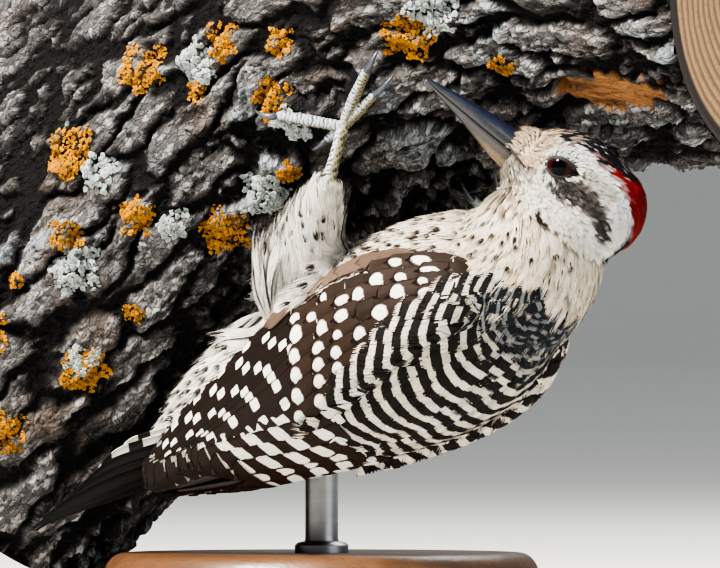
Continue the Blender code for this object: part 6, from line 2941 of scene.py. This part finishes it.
@dataclass
class Stand:
    """The display stand: a turned wooden base and a steel rod with a collar."""

    def turned(self, name: str, profile: Sequence[tuple[float, float]], sides: int,
               finish: bpy.types.Material) -> bpy.types.Object:
        """Makes a solid of revolution on the stand's axis.

        Args:
            name: Its name.
            profile: Radius and height of its outline, from the bottom up.
            sides: Points round it.
            finish: Its material.

        Returns:
            The piece.
        """
        points, a = revolved(profile, sides)
        n = len(profile)
        out = np.repeat(np.linspace(0, 1, n), sides)
        turn = np.tile(a, n)
        uv = np.stack([0.5 + 0.48 * out * np.cos(turn), 0.5 + 0.48 * out * np.sin(turn)], -1)
        batch = Batch()
        batch.add(points, tube_faces(n, sides), uv=uv)
        obj = batch.build(name, finish)
        obj.data.set_sharp_from_angle(angle=math.radians(35))
        return obj

    def build(self, wood: bpy.types.Material, metal: bpy.types.Material) -> None:
        """Makes both pieces inside the solids that they stand for.

        Args:
            wood: The base's material.
            metal: The rod's material.
        """
        _, high = (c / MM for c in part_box("stand_base"))
        radius, top = high.x, high.z
        outline = [(radius - 1.2, 0.0), (radius - 0.3, 0.5), (radius, 1.4), (radius, 3.6),
                   (radius - 0.8, 4.4), (radius - 1.6, 4.7), (radius - 1.7, 5.2)]
        for k in range(9):
            bend = math.pi / 2 * k / 8
            outline.append((radius - 1.8 - 4.4 * (1 - math.cos(bend)),
                            5.4 + (top - 5.4) * math.sin(bend)))
        outline += [(radius - 9.0, top), (14.0, top), (8.0, top - 0.05)]
        base = self.turned("stand_base_turned", outline, 128, wood)
        keep(base, "stand_wood", "stand_base")
        low, high = (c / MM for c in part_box("stand_rod"))
        thick = high.x
        rod = [(thick + 2.2, low.z - 0.3), (thick + 2.2, low.z + 1.2), (thick + 1.6, low.z + 1.8),
               (thick + 0.15, low.z + 2.1), (thick, low.z + 2.6)]
        rod += [(thick, low.z + 2.6 + (high.z - low.z - 3.0) * k / 12) for k in range(1, 13)]
        rod += [(thick - 0.4, high.z)]
        keep(self.turned("stand_rod_turned", rod, 64, metal), "stand_metal", "stand_rod")


@dataclass
class Studio:
    """Pale floor and sweep, soft lights and the camera."""

    azimuth: float = 32.5
    distance: float = 3.333
    lens: float = 800.0
    aim_right: float = -9.58
    aim_up: float = 13.75

    def build(self, finish: bpy.types.Material) -> None:
        """Makes the floor, the lights and the camera.

        Args:
            finish: The floor's material.
        """
        self.floor(finish)
        self.lights()
        a = math.radians(self.azimuth)
        right = Vector((math.cos(a), math.sin(a), 0))
        toward = Vector((math.sin(a), -math.cos(a), 0))
        aim = (BODY_AT + right * self.aim_right + Vector((0, 0, self.aim_up))) * MM
        data = bpy.data.cameras.new("camera")
        data.lens = self.lens
        data.sensor_width = 36.0
        bpy.context.scene.camera = self.aimed("camera", data, aim, toward, self.distance)

    @staticmethod
    def aimed(name: str, data: bpy.types.ID, aim: Vector, way: Vector, far: float
              ) -> bpy.types.Object:
        """Stands a camera or lamp off from a place, turned to look back at it."""
        obj = linked(name, data)
        obj.location = aim + way * far
        obj.rotation_euler = (-way).to_track_quat("-Z", "Y").to_euler()
        return obj

    def floor(self, finish: bpy.types.Material) -> None:
        """Makes a wide round floor whose rim sweeps up all round."""
        profile = [(0.02, 0.0), (0.8, 0.0), (1.8, 0.0), (3.4, 0.0), (7.0, 0.0), (11.0, 0.0)]
        profile += [(11.0 + 3.0 * math.sin(k * math.pi / 20), 3.0 * (1 - math.cos(
            k * math.pi / 20))) for k in range(1, 11)]
        profile += [(14.0, 4.5), (14.0, 7.0)]
        sides = 72
        points, _ = revolved(profile, sides)
        faces = grid(len(profile), sides, True).tolist() + [list(range(sides))]
        batch = Batch()
        batch.add(points / MM, faces)
        batch.build("studio_floor", finish)

    def lights(self) -> None:
        """Makes a broad key, a fill, a rim light and a pale world."""
        world = bpy.data.worlds.new("studio")
        world.use_nodes = True
        back = world.node_tree.nodes["Background"]
        back.inputs["Color"].default_value = (0.93, 0.96, 1.0, 1.0)
        back.inputs["Strength"].default_value = 0.46
        bpy.context.scene.world = world
        bpy.context.scene.view_settings.look = "AgX - High Contrast"
        aim = Vector((0.01, 0.0, 0.09))
        for name, azimuth, height, far, size, power, tone in (
                ("key", -12, 46, 1.2, 0.30, 50.0, (1.0, 0.94, 0.85)),
                ("fill", 85, 18, 1.3, 0.9, 6.0, (0.90, 0.95, 1.0)),
                ("back", 190, 50, 1.3, 0.7, 9.0, (1.0, 1.0, 1.0))):
            a, e = math.radians(azimuth), math.radians(height)
            way = Vector((math.sin(a) * math.cos(e), -math.cos(a) * math.cos(e), math.sin(e)))
            data = bpy.data.lights.new(name, "AREA")
            data.size = size
            data.energy = power
            data.color = tone
            self.aimed(name, data, aim, way, far)


def bare(places: np.ndarray) -> np.ndarray:
    """Whether places of the form carry no feathers: the bill and the eyes' openings.

    Args:
        places: World points.

    Returns:
        One truth value per place.
    """
    h = to_local(places, HEAD)
    near = np.hypot(h[:, 1], h[:, 2] + 3.2) < 8.0
    bill = near & (h[:, 0] > 15.3)
    lids = np.min([Eye(side).share(h) for side in SIGN], axis=0)
    return bill | (lids < 1.15)


def main() -> None:
    """Builds every piece around the frame and writes the sizes."""
    logging.basicConfig(level=logging.INFO, format="%(message)s")
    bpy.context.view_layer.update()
    mottle, barbs = mottle_group(), barb_group()
    feathers = PlumageFinish("contour_feathers").build(barbs)
    barred = PlumageFinish("barred_feathers", ragged=0.10, fineness=70.0, wobble=1.0
                           ).build(barbs)
    vanes = PlumageFinish("flight_feathers", rough=0.6, ragged=0.07, fineness=110.0,
                          streak=0.30, root_shade=0.9, relief_mm=0.05, wobble=1.9).build(barbs)
    plumage = Plumage()
    body = ("trunk", "neck", "head", "thigh_left", "thigh_right", "eye_left", "eye_right",
            "bill_upper", "bill_lower")
    form = Form().build("coat_form", body)
    hull = Form(passes=4).build("hull_form", (*body, "wing_left", "wing_right", "tail"))
    LOG.info("forms ready")

    Skin(plumage).build(form, SkinFinish().build(mottle))
    wings = [Wing(side) for side in SIGN]
    for wing in wings:
        wing.build(vanes)
    Tail().build(vanes)

    kit, tree = CutKit(), coat_tree()
    coat = Coat(plumage, kit, tree)
    roots = coat.scatter(form, lambda places: wings[0].covers(places) | wings[1].covers(places)
                         | bare(places))
    zone = plumage.zones(roots.places)
    kinds = {"coat_face": (Zone.FACE, Zone.THROAT), "coat_crown": (Zone.CROWN,),
             "coat_neck_breast": (Zone.NECK, Zone.BREAST), "coat_belly": (Zone.BELLY,),
             "coat_thighs": (Zone.THIGH,)}
    for name, members in kinds.items():
        mask = np.isin(zone, [z.value for z in members])
        coat.lay(name, chosen(roots, mask), form, feathers)
    coat.lay("coat_back", coat.rows(hull), hull, barred, patch=0.012)
    kit.clear()
    for helper in (form, hull):
        bpy.data.objects.remove(helper)

    bill, horn = Bill(), HornFinish("bill_horn").build(mottle)
    bill.half(True, horn)
    bill.half(False, horn)
    ball = EyeFinish().build(mottle)
    lid = ScaleFinish("lid_skin", (0.017, 0.015, 0.015), (0.006, 0.005, 0.005),
                      (0.017, 0.015, 0.015)).build(mottle)
    for side in SIGN:
        eye = Eye(side)
        eye.ball(ball)
        eye.lids(lid)
        bill.gape(side, lid)

    branch = Branch()
    scales = ScaleFinish("foot_scales", (0.36, 0.395, 0.42), (0.022, 0.024, 0.021),
                         (0.215, 0.195, 0.115)).build(mottle)
    claw = HornFinish("claw_horn", rough=0.3, coat=0.3).build(mottle)
    legs = [Leg(side, branch) for side in SIGN]
    for leg in legs:
        leg.foot(scales)
        leg.claws(claw)
    toes = np.concatenate([line for leg in legs for key, (line, _, _) in leg.lines().items()
                           if key != "shank"])
    sheets = branch.build(BarkFinish().build(mottle), SawnFinish().build(mottle), toes)
    searches = [tree_of(obj) for obj in sheets]
    lichens = Lichens(branch)
    orange = (lichens.spread(21, (25.0, 78.0), (5.2, 1.8), SEED + 31)
              + lichens.spread(5, (105.0, 215.0), (5.0, 3.5), SEED + 32))
    grey = (lichens.spread(10, (24.0, 66.0), (5.0, 2.6), SEED + 33)
            + lichens.spread(3, (130.0, 235.0), (5.0, 4.4), SEED + 34))
    strewn = lichens.tree()
    lichens.strew("lichen_orange", orange, searches, strewn, 4.6, 0.78, 0.16,
                  LichenFinish("orange_lichen", (0.60, 0.265, 0.018), (0.23, 0.11, 0.014)
                               ).build(mottle))
    lichens.strew("lichen_grey", grey, searches, strewn, 2.8, 1.25, 0.02,
                  LichenFinish("grey_lichen", (0.50, 0.54, 0.53), (0.20, 0.23, 0.23)
                               ).build(mottle))
    Stand().build(StandWoodFinish().build(mottle), StandMetalFinish().build(mottle))
    Studio().build(FloorFinish().build(mottle))


if __name__ == "__main__":
    main()
